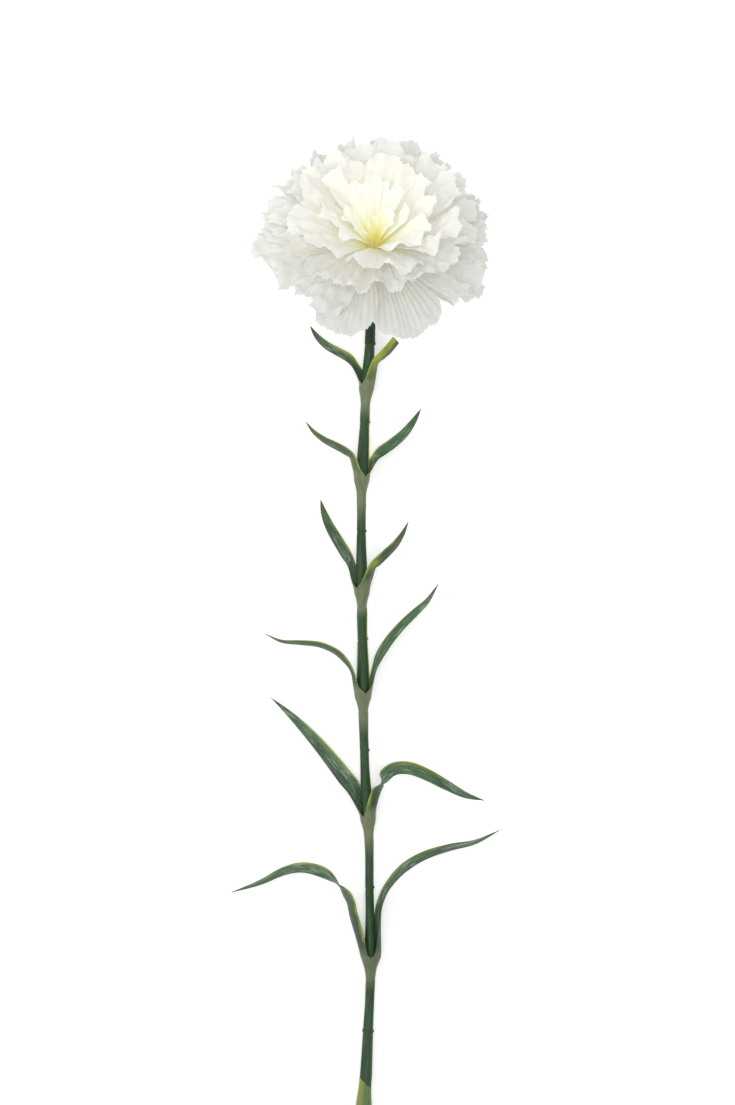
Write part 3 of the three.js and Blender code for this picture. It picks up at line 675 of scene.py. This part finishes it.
def crimp(shape, side, run, along):
    """Small creases in every direction, the deeper the nearer to the rim."""
    seed = shape["seed"]
    across = side * shape["width"] / 2
    total = 0
    for wave in range(5):
        length = 3.4 + 5.0 * chance(seed, 70 + wave)
        heading = (wave - 2) * 27 * DEG + 0.3 * chance(seed, 80 + wave)
        phase = 2 * math.pi * chance(seed, 90 + wave)
        place = across * math.cos(heading) + run * math.sin(heading)
        wobble = 0.8 * np.sin(0.35 * run + 0.28 * across + 3 * phase)
        total = total + length / 6 * np.sin(2 * math.pi * place / length + phase + wobble)
    return CRIMP_HEIGHTS[shape["number"]] * total * along ** 2


def pleats(shape, side, along):
    """Fine folds that fan out from the claw and fade before the rim."""
    fan = side * shape["width"] / PLEAT_PITCH / 2 + shape["fan"] + 0.25 * np.sin(5 * side)
    fan = fan + 0.35 * np.sin(4 * along + shape["seed"])
    fade = smoothstep(along, 0.15, 0.4) * (1 - 0.75 * smoothstep(along, 0.72, 0.92))
    return shape["pleats"] * np.sin(2 * math.pi * fan) * fade


def petal_points(shape, side, run):
    """Points on a petal's middle surface, `side` from -1 to 1 across it."""
    radius, height, angle = profile(shape, run)
    along = np.clip(run / shape["length"], 0, 1.05)
    half = np.where(side < 0, shape["left"], shape["right"])
    spread = half * lerp(shape["narrow"], 1, smoothstep(along, 0.2, 0.55))
    azimuth = shape["azimuth"] + side * lerp(shape["claw_half"], spread, smoothstep(run, 0, 8))
    waves, turn = ruffle(shape["number"], azimuth, along)
    lift = shape["pinwheel"] * side * along + shape["cup"] * side ** 2 * along ** 2
    lift = lift + shape["frill"] * (
        waves + crumple(shape, side, along) + crimp(shape, side, run, along)
    )
    lift = lift + shape["lip"] * (1 - side ** 2) * smoothstep(along, 0.6, 1) ** 2
    lift = lift + pleats(shape, side, along)
    azimuth = azimuth + shape["frill"] * turn
    placed = from_head(radius - lift * np.cos(angle), azimuth, height + lift * np.sin(angle))
    # Nothing goes through the floor: a petal that would, flattens out just above it.
    z = placed[..., 2] / FLOOR_SOFTNESS
    placed[..., 2] = FLOOR_SOFTNESS * np.logaddexp(0, z) + LEAST_HEIGHT
    return placed


def toothed_edge(shape):
    """Places across a petal, its uneven outline there, and how far its teeth stand out."""
    seed = shape["seed"]
    teeth = max(4, round(shape["width"] / TOOTH_PITCH))
    sizes = np.array([chance(seed + 3 * k, 60) for k in range(teeth + 1)])
    widths = 0.6 + 0.8 * np.array([chance(seed + 5 * k, 61) for k in range(teeth)])
    starts = np.concatenate([[0], np.cumsum(widths)]) / widths.sum()
    place, tooth = [], []
    for k in range(teeth):
        for column in range(TOOTH_COLUMNS):
            share = column / TOOTH_COLUMNS
            size = TOOTH_LEAST + TOOTH_SPREAD * sizes[k]
            place.append(lerp(starts[k], starts[k + 1], share))
            tooth.append(size * (1 - (2 * share - 1) ** 2))
    side = 2 * np.array([*place, 1.0]) - 1
    slow = side * shape["width"] / 2
    lobes = sum(height * np.sin(slow * waves + part * seed) for height, waves, part in LOBES)
    from_notch = side - 0.8 * shape["fan"] + 0.4
    notch = NOTCH_DEPTH * shape["notch"] * np.exp(-(from_notch / NOTCH_WIDTH) ** 2)
    teeth_out = TOOTH_SIZES[shape["number"]] * np.array([*tooth, 0.0]) - TOOTH_SINK
    return side, lobes * shape["lobes"] - notch, teeth_out


def petal_shape(number, whorl, k):
    """The measures of petal k of a whorl, those of the CAD first, and its own folds."""
    name, claw, petals = whorl
    count = len(petals)
    share = 180 / count
    azimuth, opening, reach = petals[k][:3]
    widest = petals[k][3] + 2 if len(petals[k]) > 3 else max(WIDEST_HALF, 1.1 * share)
    before, after = petals[(k - 1) % count][0], petals[(k + 1) % count][0]
    left, right = (
        min(widest, PETAL_OVERLAP * ((space + 720) % 360) / 2) * DEG
        for space in (azimuth - before, after - azimuth)
    )
    index = number * 10 + k
    length = PETAL_REACH * reach
    shape = {
        "name": f"petal_{name}_{k + 1}", "number": number, "index": index,
        "claw": claw, "azimuth": azimuth * DEG, "open": opening * DEG,
        "recurve": RECURVE * DEG, "length": length, "claw_half": 0.52 * share * DEG,
        "left": left, "right": right,
        "pinwheel": (-PINWHEEL if number % 2 else PINWHEEL) * reach,
        "narrow": lerp(NARROW_SHARE, 1, min(1, number / 4)),
        "cup": CUPPING * (chance(index, 4) - 0.4),
        "lip": 5 * (chance(index, 5) - 0.5),
        "fan": chance(index, 6), "seed": index + 1,
        "notch": float(chance(index, 8) > 0.45) * (number > 0),
        "frill": 0.75 + 0.5 * chance(index, 9),
        "pleats": PLEAT_HEIGHT * (0.5 + chance(index, 11)) * PLEATING[number],
        "lobes": min(1, (5.5 - number) / 3) * reach,
        "over_stem": number == 0 and abs(azimuth + 90) < 30,
        "farthest": number < 2 and 60 < azimuth < 120,
        "curl": reach < CURL_REACH,
    }
    if shape["over_stem"]:  # these two are plain pleated fans
        shape.update(frill=0.35, lip=0.5, pleats=0.5, lobes=0.4)
    if shape["farthest"]:
        shape.update(frill=0.65, notch=0.0, lip=0.0)
    if shape["curl"]:
        shape["frill"] = 0.3
    rim = float(profile(shape, np.array(length))[0])
    shape["width"] = (left + right) * max(rim, 12)
    return shape


def petal_grid(shape):
    """The grid of a petal: places across it and along it, with the rim's teeth last."""
    number = shape["number"]
    side, outline, teeth = toothed_edge(shape)
    edge = shape["length"] * (1 - 0.08 * side ** 2 - 0.14 * side ** 6) + outline - TRIMS[number]
    if shape["over_stem"]:
        right = shape["azimuth"] > -90 * DEG
        edge = edge - STEM_TRIMS[right] - STEM_CORNERS * side ** 4
    if shape["farthest"]:
        edge = edge - FAR_TRIM
    foot = CALYX_FLOOR + SEAT_GAP - BEND_HEIGHT
    bent = (BEND_RADIUS - shape["claw"]) * (shape["open"] - shape["recurve"])
    plain = (foot, foot / 2, 0, bent / 4, bent / 2, 0.75 * bent, bent)
    runs = [np.full(len(side), run) for run in plain]
    rows = PETAL_ROWS[number]
    for row in range(1, rows + 1):
        runs.append(lerp(bent, edge, row / rows))
    runs[-1] = runs[-1] + teeth
    run = np.array(runs)
    return np.broadcast_to(side, run.shape), run


def yellowness(shape, point, run):
    from_mouth = np.linalg.norm(point - MOUTH, axis=-1)
    yellow = np.interp(from_mouth, YELLOW_PLACES, YELLOW_SHARES)
    foot = FOOT_YELLOW * (1 - smoothstep(run / shape["length"], 0.25, 0.9))
    # The small curl in the middle is nearly white.
    return (0.1 if shape["curl"] else 1.0) * np.maximum(yellow, foot)


def petal(number, whorl, k):
    shape = petal_shape(number, whorl, k)
    side, run = petal_grid(shape)
    point = petal_points(shape, side, run)
    step = 0.02
    down = petal_points(shape, side, run + step) - petal_points(shape, side, run - step)
    over = petal_points(shape, side + step / 4, run) - petal_points(shape, side - step / 4, run)
    normal = np.cross(over, down)
    normal /= np.linalg.norm(normal, axis=-1, keepdims=True)
    sideways = math.cos(shape["azimuth"])
    # Painted shade for this petal, by its whorl and its side of the head.
    painted_shade = PAINTED_SHADE_WHORLS[number] * (
        PAINTED_SHADE_LEVEL + PAINTED_SHADE_TO_RIGHT * sideways - PAINTED_SHADE_OFF_SIDES * sideways ** 2
    )
    piece = sheet(
        f"{shape['name']}_cloth", point + normal * CLOTH / 2, point - normal * CLOTH / 2,
        {"glow": yellowness(shape, point, run), "painted_shade": painted_shade},
        laid_flat(side * shape["width"] / 2, run, 17.0 * shape["index"]),
    )
    slot = "heart_petal" if number >= HEART_WHORL else "petal"
    hand_over(piece, PETAL, slot, shape["name"])


for number, whorl in enumerate(WHORLS):
    for k in range(len(whorl[2])):
        petal(number, whorl, k)

CALYX_SIDES = 90
CALYX_ROWS = 26  # below the throat
CALYX_RIB = 0.12
CALYX_BLEND = 0.4  # how much wider its foot is than the stem's top
TIP_BEVEL = 0.2
FLAT_RADIUS = 6.5  # turns an azimuth on the calyx or a scale into a width
BRACT_ROWS = 22
BRACT_COLUMNS = 25
BRACT_RIB = 0.1


def calyx():
    azimuth = np.linspace(0, 2 * math.pi, CALYX_SIDES, endpoint=False)
    turn = azimuth / (2 * math.pi) * CALYX_TEETH
    rim = TOOTH_HEIGHT * (1 - 2 * np.abs(turn - np.floor(turn) - 0.5))
    ribs = CALYX_RIB * np.cos(azimuth * CALYX_TEETH * 2)
    rings, levels = [], []

    def ring(radius, height):
        flared = radius + ribs + TOOTH_FLARE * np.maximum(0, height) ** 2
        rings.append(from_head(flared, azimuth, height))
        levels.append(np.broadcast_to(height, CALYX_SIDES))

    outside = [
        [CALYX_FOOT_RADIUS + CALYX_BLEND, -CALYX_LENGTH], *CALYX_FOOT,
        [CALYX_OUTER_RADIUS, CALYX_THROAT],
    ]
    radii, heights = zip(*outside)
    for height in np.linspace(heights[0], heights[-1], CALYX_ROWS):
        ring(np.interp(height, heights, radii), height)
    ring(CALYX_OUTER_RADIUS, lerp(CALYX_THROAT, rim, 0.15))
    for share in (0.45, 0.75, 0.95):
        ring(CALYX_OUTER_RADIUS, rim * share)
    ring(CALYX_OUTER_RADIUS - TIP_BEVEL, rim)
    for share in (0.9, 0.45):
        ring(CALYX_INNER_RADIUS, rim * share)
    ring(CALYX_INNER_RADIUS, CALYX_THROAT)
    ring(CALYX_INNER_RADIUS, CALYX_FLOOR)
    height = np.array(levels)
    along = smoothstep(height, -CALYX_LENGTH, TOOTH_HEIGHT)
    flat = laid_flat(FLAT_RADIUS * azimuth, height)
    piece = tube("calyx_tube", np.array(rings), {"along": along}, flat)
    hand_over(piece, CALYX, "calyx", "calyx")


def bract(k, middle):
    heights, radii, halves = zip(*BRACT_LEVELS)
    height = np.linspace(heights[0], heights[-1], BRACT_ROWS)[:, None]
    radius = np.interp(height, heights, radii)
    half = np.interp(height, heights, halves)
    across = np.linspace(-1, 1, BRACT_COLUMNS)[None, :]
    azimuth = (middle + half * across) * DEG
    rib = BRACT_RIB * np.cos(across * math.pi * 6) * (1 - across ** 2)

    def face(offset):
        return from_head(radius + SEAT_GAP * 0.6 + offset, azimuth, height)

    thickness = BRACT_THICKNESS * (1 - 0.8 * across ** 4) + rib
    piece = sheet(
        f"bract_{k}_scale", face(thickness), face(0.0),
        {"along": np.linspace(0, 1, BRACT_ROWS)[:, None]},
        laid_flat(FLAT_RADIUS * azimuth, height),
    )
    hand_over(piece, CALYX, "bract", f"bract_{k}")


calyx()
for k, middle in enumerate(BRACT_AZIMUTHS):
    bract(k + 1, middle)

# ---- The stem ----

STEM_CURVE = [
    *STEM_PATH, NECK_START,
    from_head(0, 0, -CALYX_LENGTH - 5), from_head(0, 0, -CALYX_LENGTH - SEAT_GAP),
]
STEM_SAMPLES = np.array([curve_point(STEM_CURVE, t) for t in np.linspace(0, 1, 3001)])
STEM_SIDES = 36
STEM_STEP = 0.5
NECK_ROWS = 40
# Mould seams half-way between the leaves, each with a burr beside it.
SEAMS = [-133.0, -77.0, -23.5, 20.0, 62.0, 104.5, 135.1]
SEAM_DEPTH = 0.16
SEAM_WIDTH = 0.35
RIGHT_BURR = 0.5
LEFT_BURRS = [0.45, 0, 0, 0, 0, 0, 0]
BURR_ABOVE = 0.5
BURR_LENGTH = 0.5
BURR_SPREAD = 0.25
JOINT_REACH = 2.5  # no lumps this near to where a leaf base starts
JOINT_DENT = 0.02
PALE_ENDS = [0, 14, 18, 19, 13, 22, 15]  # how far below each pair of leaves the pale zone ends
PALE_STRENGTHS = [0, 0.45, 0.85, 1, 0.9, 1, 1]
PALE_START = 4.5
# Thin lime ridges along the stem's sides: how high along Y, as shares of their full height.
RIDGE_PLACES = [-104, -48, -36, 0, 6, 30, 34, 50, 60, 75, 89, 106, 111, 122, 134]
RIGHT_RIDGE = [0, 0, 0.3, 0.4, 1, 0.8, 0, 0.3, 0.4, 0, 1, 1, 0, 0, 0.3]
LEFT_RIDGE = [0, 0, 0.1, 0.2, 0.9, 0.6, 0, 0.1, 0.2, 0, 0.2, 0.2, 0, 0, 0.2]
RIDGE_HEIGHT = 0.42
RIDGE_SHARPNESS = 20
COLLAR = [135.6, 143.5]  # from and to along Y
COLLAR_HEIGHT = 0.2
COLLAR_EDGE = 0.3
COLLAR_DARKNESS = 0.85


def station_on(y):
    """The share of the curve at which it passes a height along Y."""
    return float(np.interp(y, STEM_SAMPLES[:, 1], np.linspace(0, 1, len(STEM_SAMPLES))))


def on_stem(y):
    return np.stack([np.interp(y, STEM_SAMPLES[:, 1], STEM_SAMPLES[:, k]) for k in range(3)], -1)


def stem_radius(y):
    radius = STEM_RADIUS
    for node in NODE_STATIONS:
        above = y - node
        below = -SHEATH_LENGTH - above
        if 0 < above < SWELL_LENGTH:
            radius = lerp(NODE_RADIUS, STEM_RADIUS, smoothstep(above, 0, SWELL_LENGTH))
        elif -SHEATH_LENGTH < above <= 0:
            radius = lerp(WAIST_RADIUS, NODE_RADIUS, smoothstep(above, -SHEATH_LENGTH, 0))
        elif 0 <= below < SHOULDER_LENGTH:
            radius = lerp(SHOULDER_RADIUS, STEM_RADIUS, smoothstep(below, 0, SHOULDER_LENGTH))
    return float(radius + np.interp(y, STOUT_PLACES, STOUT_RADII))


def paleness(y):
    """How pale the stem is: palest just below a pair of leaves, dark above it."""
    value = 0.0
    for node, end, strength in zip(NODE_STATIONS, PALE_ENDS, PALE_STRENGTHS):
        below = node - y
        if PALE_START < below < end:
            fade = lerp(1, strength, smoothstep(below, 6, 10))
            value = max(value, fade * (1 - smoothstep(below, 8, end)))
    return value


def stem_outline(y, radius, angles):
    """The stem's radius all round, how much of that is a ridge, and how much collar is there."""
    size = np.full(len(angles), radius)
    beside_only = np.exp(-(np.cos(angles) / BURR_SPREAD) ** 2)
    for seam, left_burr in zip(SEAMS, LEFT_BURRS):
        size -= SEAM_DEPTH * math.exp(-((y - seam) / SEAM_WIDTH) ** 2)
        burr = beside_only * np.where(np.sin(angles) > 0, RIGHT_BURR, left_burr)
        size += burr * math.exp(-((y - seam - BURR_ABOVE) / BURR_LENGTH) ** 2)
    joint = min(abs(y - node + SHEATH_LENGTH) for node in NODE_STATIONS)
    plain = 1 - math.exp(-(joint / JOINT_REACH) ** 2)
    lumps = 0.05 * np.sin(3 * angles + 0.05 * y) + 0.04 * np.sin(5 * angles - 0.09 * y)
    size += plain * lumps - JOINT_DENT * (1 - plain)
    start, end = COLLAR
    rag = end + 0.8 * np.sin(4 * angles) + 0.6 * np.sin(9 * angles + 1)
    collar = smoothstep(y, start - COLLAR_EDGE, start)
    collar = collar * (1 - smoothstep(y, rag - COLLAR_EDGE, rag))
    size += collar * (COLLAR_HEIGHT + 0.05 * np.sin(7 * angles + 2.5 * y))
    right = np.maximum(0, np.sin(angles)) ** RIDGE_SHARPNESS
    left = np.maximum(0, -np.sin(angles)) ** RIDGE_SHARPNESS
    ridge = right * np.interp(y, RIDGE_PLACES, RIGHT_RIDGE)
    ridge = ridge + left * np.interp(y, RIDGE_PLACES, LEFT_RIDGE)
    size += RIDGE_HEIGHT * ridge
    return size, ridge, collar


def stem():
    low = STEM_PATH[0][1]
    neck_from = station_on(NECK_START[1])
    parameters = [station_on(y) for y in np.arange(low, NECK_START[1] - 0.4, STEM_STEP)]
    parameters += list(np.linspace(neck_from, 1, NECK_ROWS))
    angles = np.linspace(0, 2 * math.pi, STEM_SIDES, endpoint=False)
    round_from_back = (angles + math.pi) % (2 * math.pi) - math.pi
    normal = UP
    rings, flat = [], []
    fields = {"pale": [], "line": [], "cut": [], "collar": []}
    for i, t in enumerate(parameters):
        point, tangent = curve_point(STEM_CURVE, t), curve_tangent(STEM_CURVE, t)
        normal = unit(normal - tangent * (normal @ tangent))
        across = np.cross(tangent, normal)
        y = point[1]
        into_calyx = smoothstep(t, lerp(neck_from, 1, 0.6), 1)
        radius = lerp(stem_radius(y), CALYX_FOOT_RADIUS, into_calyx)
        size, ridge, collar = stem_outline(y, radius, angles)
        ring = point + np.outer(size * np.cos(angles), normal)
        ring = ring + np.outer(size * np.sin(angles), across)
        if i == 0:
            ring[:, 1] += CUT_SLANT * np.cos(angles)
        rings.append(ring)
        flat.append(laid_flat(radius * round_from_back, y))
        values = (paleness(y), ridge, float(i == 0), COLLAR_DARKNESS * collar)
        for key, value in zip(fields, values):
            fields[key].append(np.broadcast_to(value, STEM_SIDES))
    piece = tube("stem_green", np.array(rings), fields, np.array(flat))
    hand_over(piece, STEM, "stem", "stem")


stem()

# ---- The leaves ----

# A leaf's path starts with three points on the stem, so spans 0 to 2 are its clasping base.
LEAF_ROWS = 90
LEAF_COLUMNS = 17
BASE_GAP = 0.12  # between the stem and a leaf's base
BASE_DIP = 0.25  # how far it reaches below the sheath of the CAD
BASE_HALF_ANGLE = 91
BASE_NARROWING = 0.76
# Leaves whose base stays a channel: its face, and the spans of the path over which it turns.
TWISTS = {
    "leaf_6_left": (-52, 4.2, 6.4), "leaf_6_right": (116, 4.4, 6.4),
    "leaf_5_right": (50, 3.3, 5.0), "leaf_1_right": (62, 3.0, 5.0),
}
# Where along a leaf its lime patch lies, how strong it is, and where across the leaf it starts.
LIME_PATCHES = {
    "leaf_1_left": (0.05, 0.75, 0.8, 0.4), "leaf_1_right": (0.0, 1.3, 1.0, 0.0),
    "leaf_2_left": (0.0, 0.25, 0.4, -2), "leaf_2_right": (0.02, 0.3, 1.0, 0.1),
    "leaf_3_left": (0.2, 0.8, 0.2, 0.45), "leaf_3_right": (0.08, 0.42, 1.0, -0.1),
    "leaf_5_left": (0.25, 0.75, 0.35, 0.45), "leaf_5_right": (0.35, 0.8, 0.3, 0.45),
    "leaf_6_left": (0.3, 0.8, 0.3, 0.45), "leaf_6_right": (0.3, 0.7, 0.3, 0.45),
}
NO_PATCH = (0, 1, 0, 0)
BASE_PALENESS = [0, 0.62, 0.9, 0.95, 0.95, 1, 1]  # for each node, as FLARES
FLARES = [0, 1.3, 0.5, 0.85, 0.6, 0.5, 0.35]  # how far a pair's bases stand off the stem
TIP_POWER = 5.0  # the higher, the later a leaf narrows to its tip
EARLY_TAPERS = {"leaf_5_left": 2.2}
TIP_WIDTH = 0.25
BASE_SHARE = 0.7  # a blade's width at the stem, as a share of its full width
BROAD_BASES = {"leaf_5_left": 1.2}
SLIM_CHANNEL = 0.62  # how narrow the channel of the lowest pair gets above its node
BLUNT = {"leaf_1_right": 0.6}
CUT_SHORT = {"leaf_1_right": 1.6}  # in spans of the path
FACES = {"leaf_1_right": (46, 40)}  # instead of the CAD's
KEEL_HEIGHT = 0.35
KEEL_WIDTH = 0.16


def leaf_half_width(name, node, width, t, along, opened, clasp):
    """Half the width of a leaf, which opens from the clasping base to the blade."""
    notch = smoothstep(t, 1.4, 1.95) if node == 1 else smoothstep(t, 1, 2)
    base = BASE_HALF_ANGLE * DEG * clasp * lerp(1, BASE_NARROWING, notch)
    if node == 1:
        base *= lerp(1, SLIM_CHANNEL, smoothstep(t, 2, 3.2))
    taper = lerp(1 - along ** EARLY_TAPERS.get(name, TIP_POWER), 1, BLUNT.get(name, 0))
    taper *= lerp(BROAD_BASES.get(name, BASE_SHARE), 1, smoothstep(along, 0, 0.35))
    return lerp(base, max(TIP_WIDTH, width * taper) / 2, opened)


def leaf_angle(name, attached, face, t, along):
    """The way a leaf's inner face looks, in radians from straight up."""
    first, last = FACES.get(name, face)
    if name in TWISTS:
        channel, turn_from, turn_to = TWISTS[name]
        turned = lerp(90 - attached, channel, smoothstep(t, 1.8, 3))
        turned = lerp(turned, first, smoothstep(t, turn_from, turn_to))
    else:
        turned = lerp(90 - attached, first, smoothstep(along, 0, 0.4))
    return lerp(turned, last, smoothstep(along, 0.4, 1)) * DEG


def lime_share(name, along, rim):
    start, end, strength, above = LIME_PATCHES.get(name, NO_PATCH)
    patch = smoothstep(along, start - 0.01, start + 0.18)
    patch = patch * (1 - smoothstep(along, end - 0.15, end))
    return strength * patch * smoothstep(rim, above - 0.45, above + 0.45)


def leaf(spec):
    name, node, attached, width, face, blade = spec
    station = NODE_STATIONS[node]
    outward = np.array([math.cos(attached * DEG), 0, math.sin(attached * DEG)])
    foot = station - SHEATH_LENGTH
    bottom = foot - BASE_DIP
    flare_from = foot + (4 if node == 1 else 1)

    def clasp_at(y):
        """The middle of the clasping base lies this far from the middle of the stem."""
        level = min(max(y, foot + 0.01), station + 2)
        flare = FLARES[node] * smoothstep(y, flare_from, station + 1.5)
        tuck = 0.09 * (1 - smoothstep(y, bottom, foot + 1))
        return stem_radius(level) + (BASE_GAP + SHEATH_THICKNESS / 2) + flare - tuck

    def beside(y):
        return on_stem(y) + outward * clasp_at(y)

    path = [beside(bottom), beside(station - 2.5), beside(station + 2), *blade]
    last = len(path) - 1
    opened_at, curl_power = (TWISTS[name][2], 2) if name in TWISTS else (3.4, 1)
    u = np.linspace(-1, 1, LEAF_COLUMNS)
    front, back, flat = [], [], []
    fields = {"along": [], "rim": [], "pale": [], "lime": []}
    for t in np.linspace(0, last - CUT_SHORT.get(name, 0), LEAF_ROWS):
        point, tangent = curve_point(path, t / last), curve_tangent(path, t / last)
        if t < 1:
            point = beside(lerp(bottom, station - 2.5, t))
        along = float(np.clip((t - 2) / (last - 2), 0, 1))
        clasp = clasp_at(point[1])
        opened = smoothstep(t, 1.2, opened_at)
        curl = lerp(clasp, CHANNEL_RADIUS, opened ** curl_power)
        half = leaf_half_width(name, node, width, t, along, opened, clasp)
        angle = leaf_angle(name, attached, face, t, along)
        above = unit(UP - tangent * (UP @ tangent))
        beyond = np.cross(tangent, above)
        out = above * math.cos(angle) + beyond * math.sin(angle)
        wide = np.cross(tangent, out)
        thickness = lerp(SHEATH_THICKNESS, LEAF_THICKNESS, opened) * lerp(1, 0.5, along)
        bearing = u * half / curl
        ray = np.outer(np.cos(bearing), out) + np.outer(np.sin(bearing), wide)
        middle = point - out * curl + ray * curl
        keel = opened * (1 - along) * KEEL_HEIGHT * np.exp(-(u / KEEL_WIDTH) ** 2)
        offset = (thickness / 2) * (1 - 0.6 * opened * u * u)
        front.append(middle + ray * (offset + 0.5 * keel)[:, None])
        back.append(middle - ray * (offset - keel * 0.8)[:, None])
        inwards = np.array([-tangent[1], tangent[0], 0]) * (1 if outward[0] > 0 else -1)
        rim = float(np.clip(3 * (wide @ inwards), -1, 1)) * u
        pale = BASE_PALENESS[node] * (1 - smoothstep(point[1] - station, 0, 5))
        values = (along, rim, pale, lime_share(name, along, rim))
        for key, value in zip(fields, values):
            fields[key].append(np.broadcast_to(value, LEAF_COLUMNS))
        flat.append(laid_flat(u * half, 6.0 * t, 9.0 * node + attached))
    fields["inner"] = [[[0.0]], [[1.0]]]
    piece = sheet(f"{name}_blade", np.array(front), np.array(back), fields, np.array(flat))
    hand_over(piece, LEAF, "leaf", name)


for spec in LEAVES:
    leaf(spec)

STUB_ROWS = 40
STUB_COLUMNS = 91
STUB_FOLD = 0.08
STUB_SIDE = 0.85  # how far its left side takes the other colour
STUB_FLAT_RADIUS = 2.4


def stripped_sheath():
    bottom = NODE_STATIONS[0] - SHEATH_LENGTH + SEAT_GAP
    u = np.linspace(-1, 1, STUB_COLUMNS)
    bearing = STUB_HALF_ANGLE * DEG * u + math.pi / 2
    ragged = 0.18 * np.sin(23 * u) + 0.12 * np.sin(41 * u + 1) + 0.1 * np.sin(67 * u + 2)
    top = bottom + STUB_LENGTH - STUB_SLANT * (0.5 + 0.5 * np.cos(bearing))
    faces = []
    for outside in (1, 0):
        rows = []
        for share in np.arange(STUB_ROWS) / (STUB_ROWS - 1):
            y = lerp(bottom, top, share) + ragged * share ** 6
            centre = on_stem(y)
            fold = STUB_FOLD * np.sin(bearing * 11) * share * (1 - share ** 4)
            taper = smoothstep(share, STUB_TAPER_FROM, 1)
            gap = lerp(SEAT_GAP, STUB_RIM_GAP, taper)
            thickness = lerp(SHEATH_THICKNESS, STUB_RIM_THICKNESS, taper)
            radius = np.array([stem_radius(float(v)) for v in y])
            radius = radius + gap + outside * thickness + fold
            rows.append(np.stack([
                centre[:, 0] + radius * np.cos(bearing), y,
                centre[:, 2] + radius * np.sin(bearing),
            ], -1))
        faces.append(np.array(rows))
    shares = np.linspace(0, 1, STUB_ROWS)[:, None]
    piece = sheet(
        "stripped_sheath_skin", *faces,
        {"along": shares, "left": STUB_SIDE * smoothstep(u, 0.02, 0.24)},
        laid_flat(bearing * STUB_FLAT_RADIUS, STUB_LENGTH * shares),
    )
    hand_over(piece, SHEATH, "sheath", "stripped_sheath")


stripped_sheath()

# ---- Floor, light and camera, in metres and watts ----

FLOOR_HEIGHT = CAD_BOX[0][2]
FLOOR_HALF = 12.0
FLOOR_GLOW = 0.3  # keeps the ground evenly white
LIGHT_SIZE = 1.6
WORLD_LIGHT = 0.6
# Name, place, the point it shines at, and power.
LIGHTS = [
    ("key", (-1.45, 0.2, 1.5), (0, 0.12, 0), 9),
    ("fill", (0.1, 0.02, 2.7), (0, 0.08, 0), 20),
]
VIEW_CENTRE = (0.0008, 0.0542, 0.005)
CAMERA_DISTANCE = 2.4
VIEW_HEIGHT = 0.431
SENSOR_HEIGHT = 36  # in millimetres, as the focal length


def floor():
    low, high, z = -FLOOR_HALF, FLOOR_HALF, FLOOR_HEIGHT
    mesh = bpy.data.meshes.new("floor")
    corners = [(low, low, z), (high, low, z), (high, high, z), (low, high, z)]
    mesh.from_pydata(corners, [], [(0, 1, 2, 3)])
    plane = add_object("floor", mesh)
    material, shader = node_material("floor_pale")
    grain = noise(add_node(shader, "TexCoord", {}, "Object"), 3.0, 2)
    colour = mixed(grain, (0.96, 0.96, 0.96), (0.98, 0.98, 0.98))
    feed(shader, {
        "Base Color": colour, "Roughness": 0.9, "Specular IOR Level": 0.0,
        "Emission Color": (1, 1, 1), "Emission Strength": FLOOR_GLOW,
    })
    mesh.materials.append(material)


def area_light(name, place, target, power):
    data = bpy.data.lights.new(name, "AREA")
    data.shape = "DISK"
    data.size = LIGHT_SIZE
    data.energy = power
    lamp = add_object(name, data)
    lamp.location = place
    lamp.rotation_euler = (Vector(place) - Vector(target)).to_track_quat("Z", "Y").to_euler()


def studio_world():
    world = bpy.data.worlds.new("studio")
    world.use_nodes = True
    feed(world.node_tree.nodes["Background"], {"Color": (1, 1, 1), "Strength": WORLD_LIGHT})
    bpy.context.scene.world = world
    bpy.context.scene.view_settings.view_transform = "Standard"


def camera():
    data = bpy.data.cameras.new("camera")
    data.sensor_fit = "VERTICAL"
    data.sensor_height = SENSOR_HEIGHT
    data.lens = SENSOR_HEIGHT * CAMERA_DISTANCE / VIEW_HEIGHT
    data.clip_end = 20
    eye = add_object("camera", data)
    x, y, z = VIEW_CENTRE
    eye.location = (x, y, z + CAMERA_DISTANCE)
    bpy.context.scene.camera = eye


floor()
for light in LIGHTS:
    area_light(*light)
studio_world()
camera()
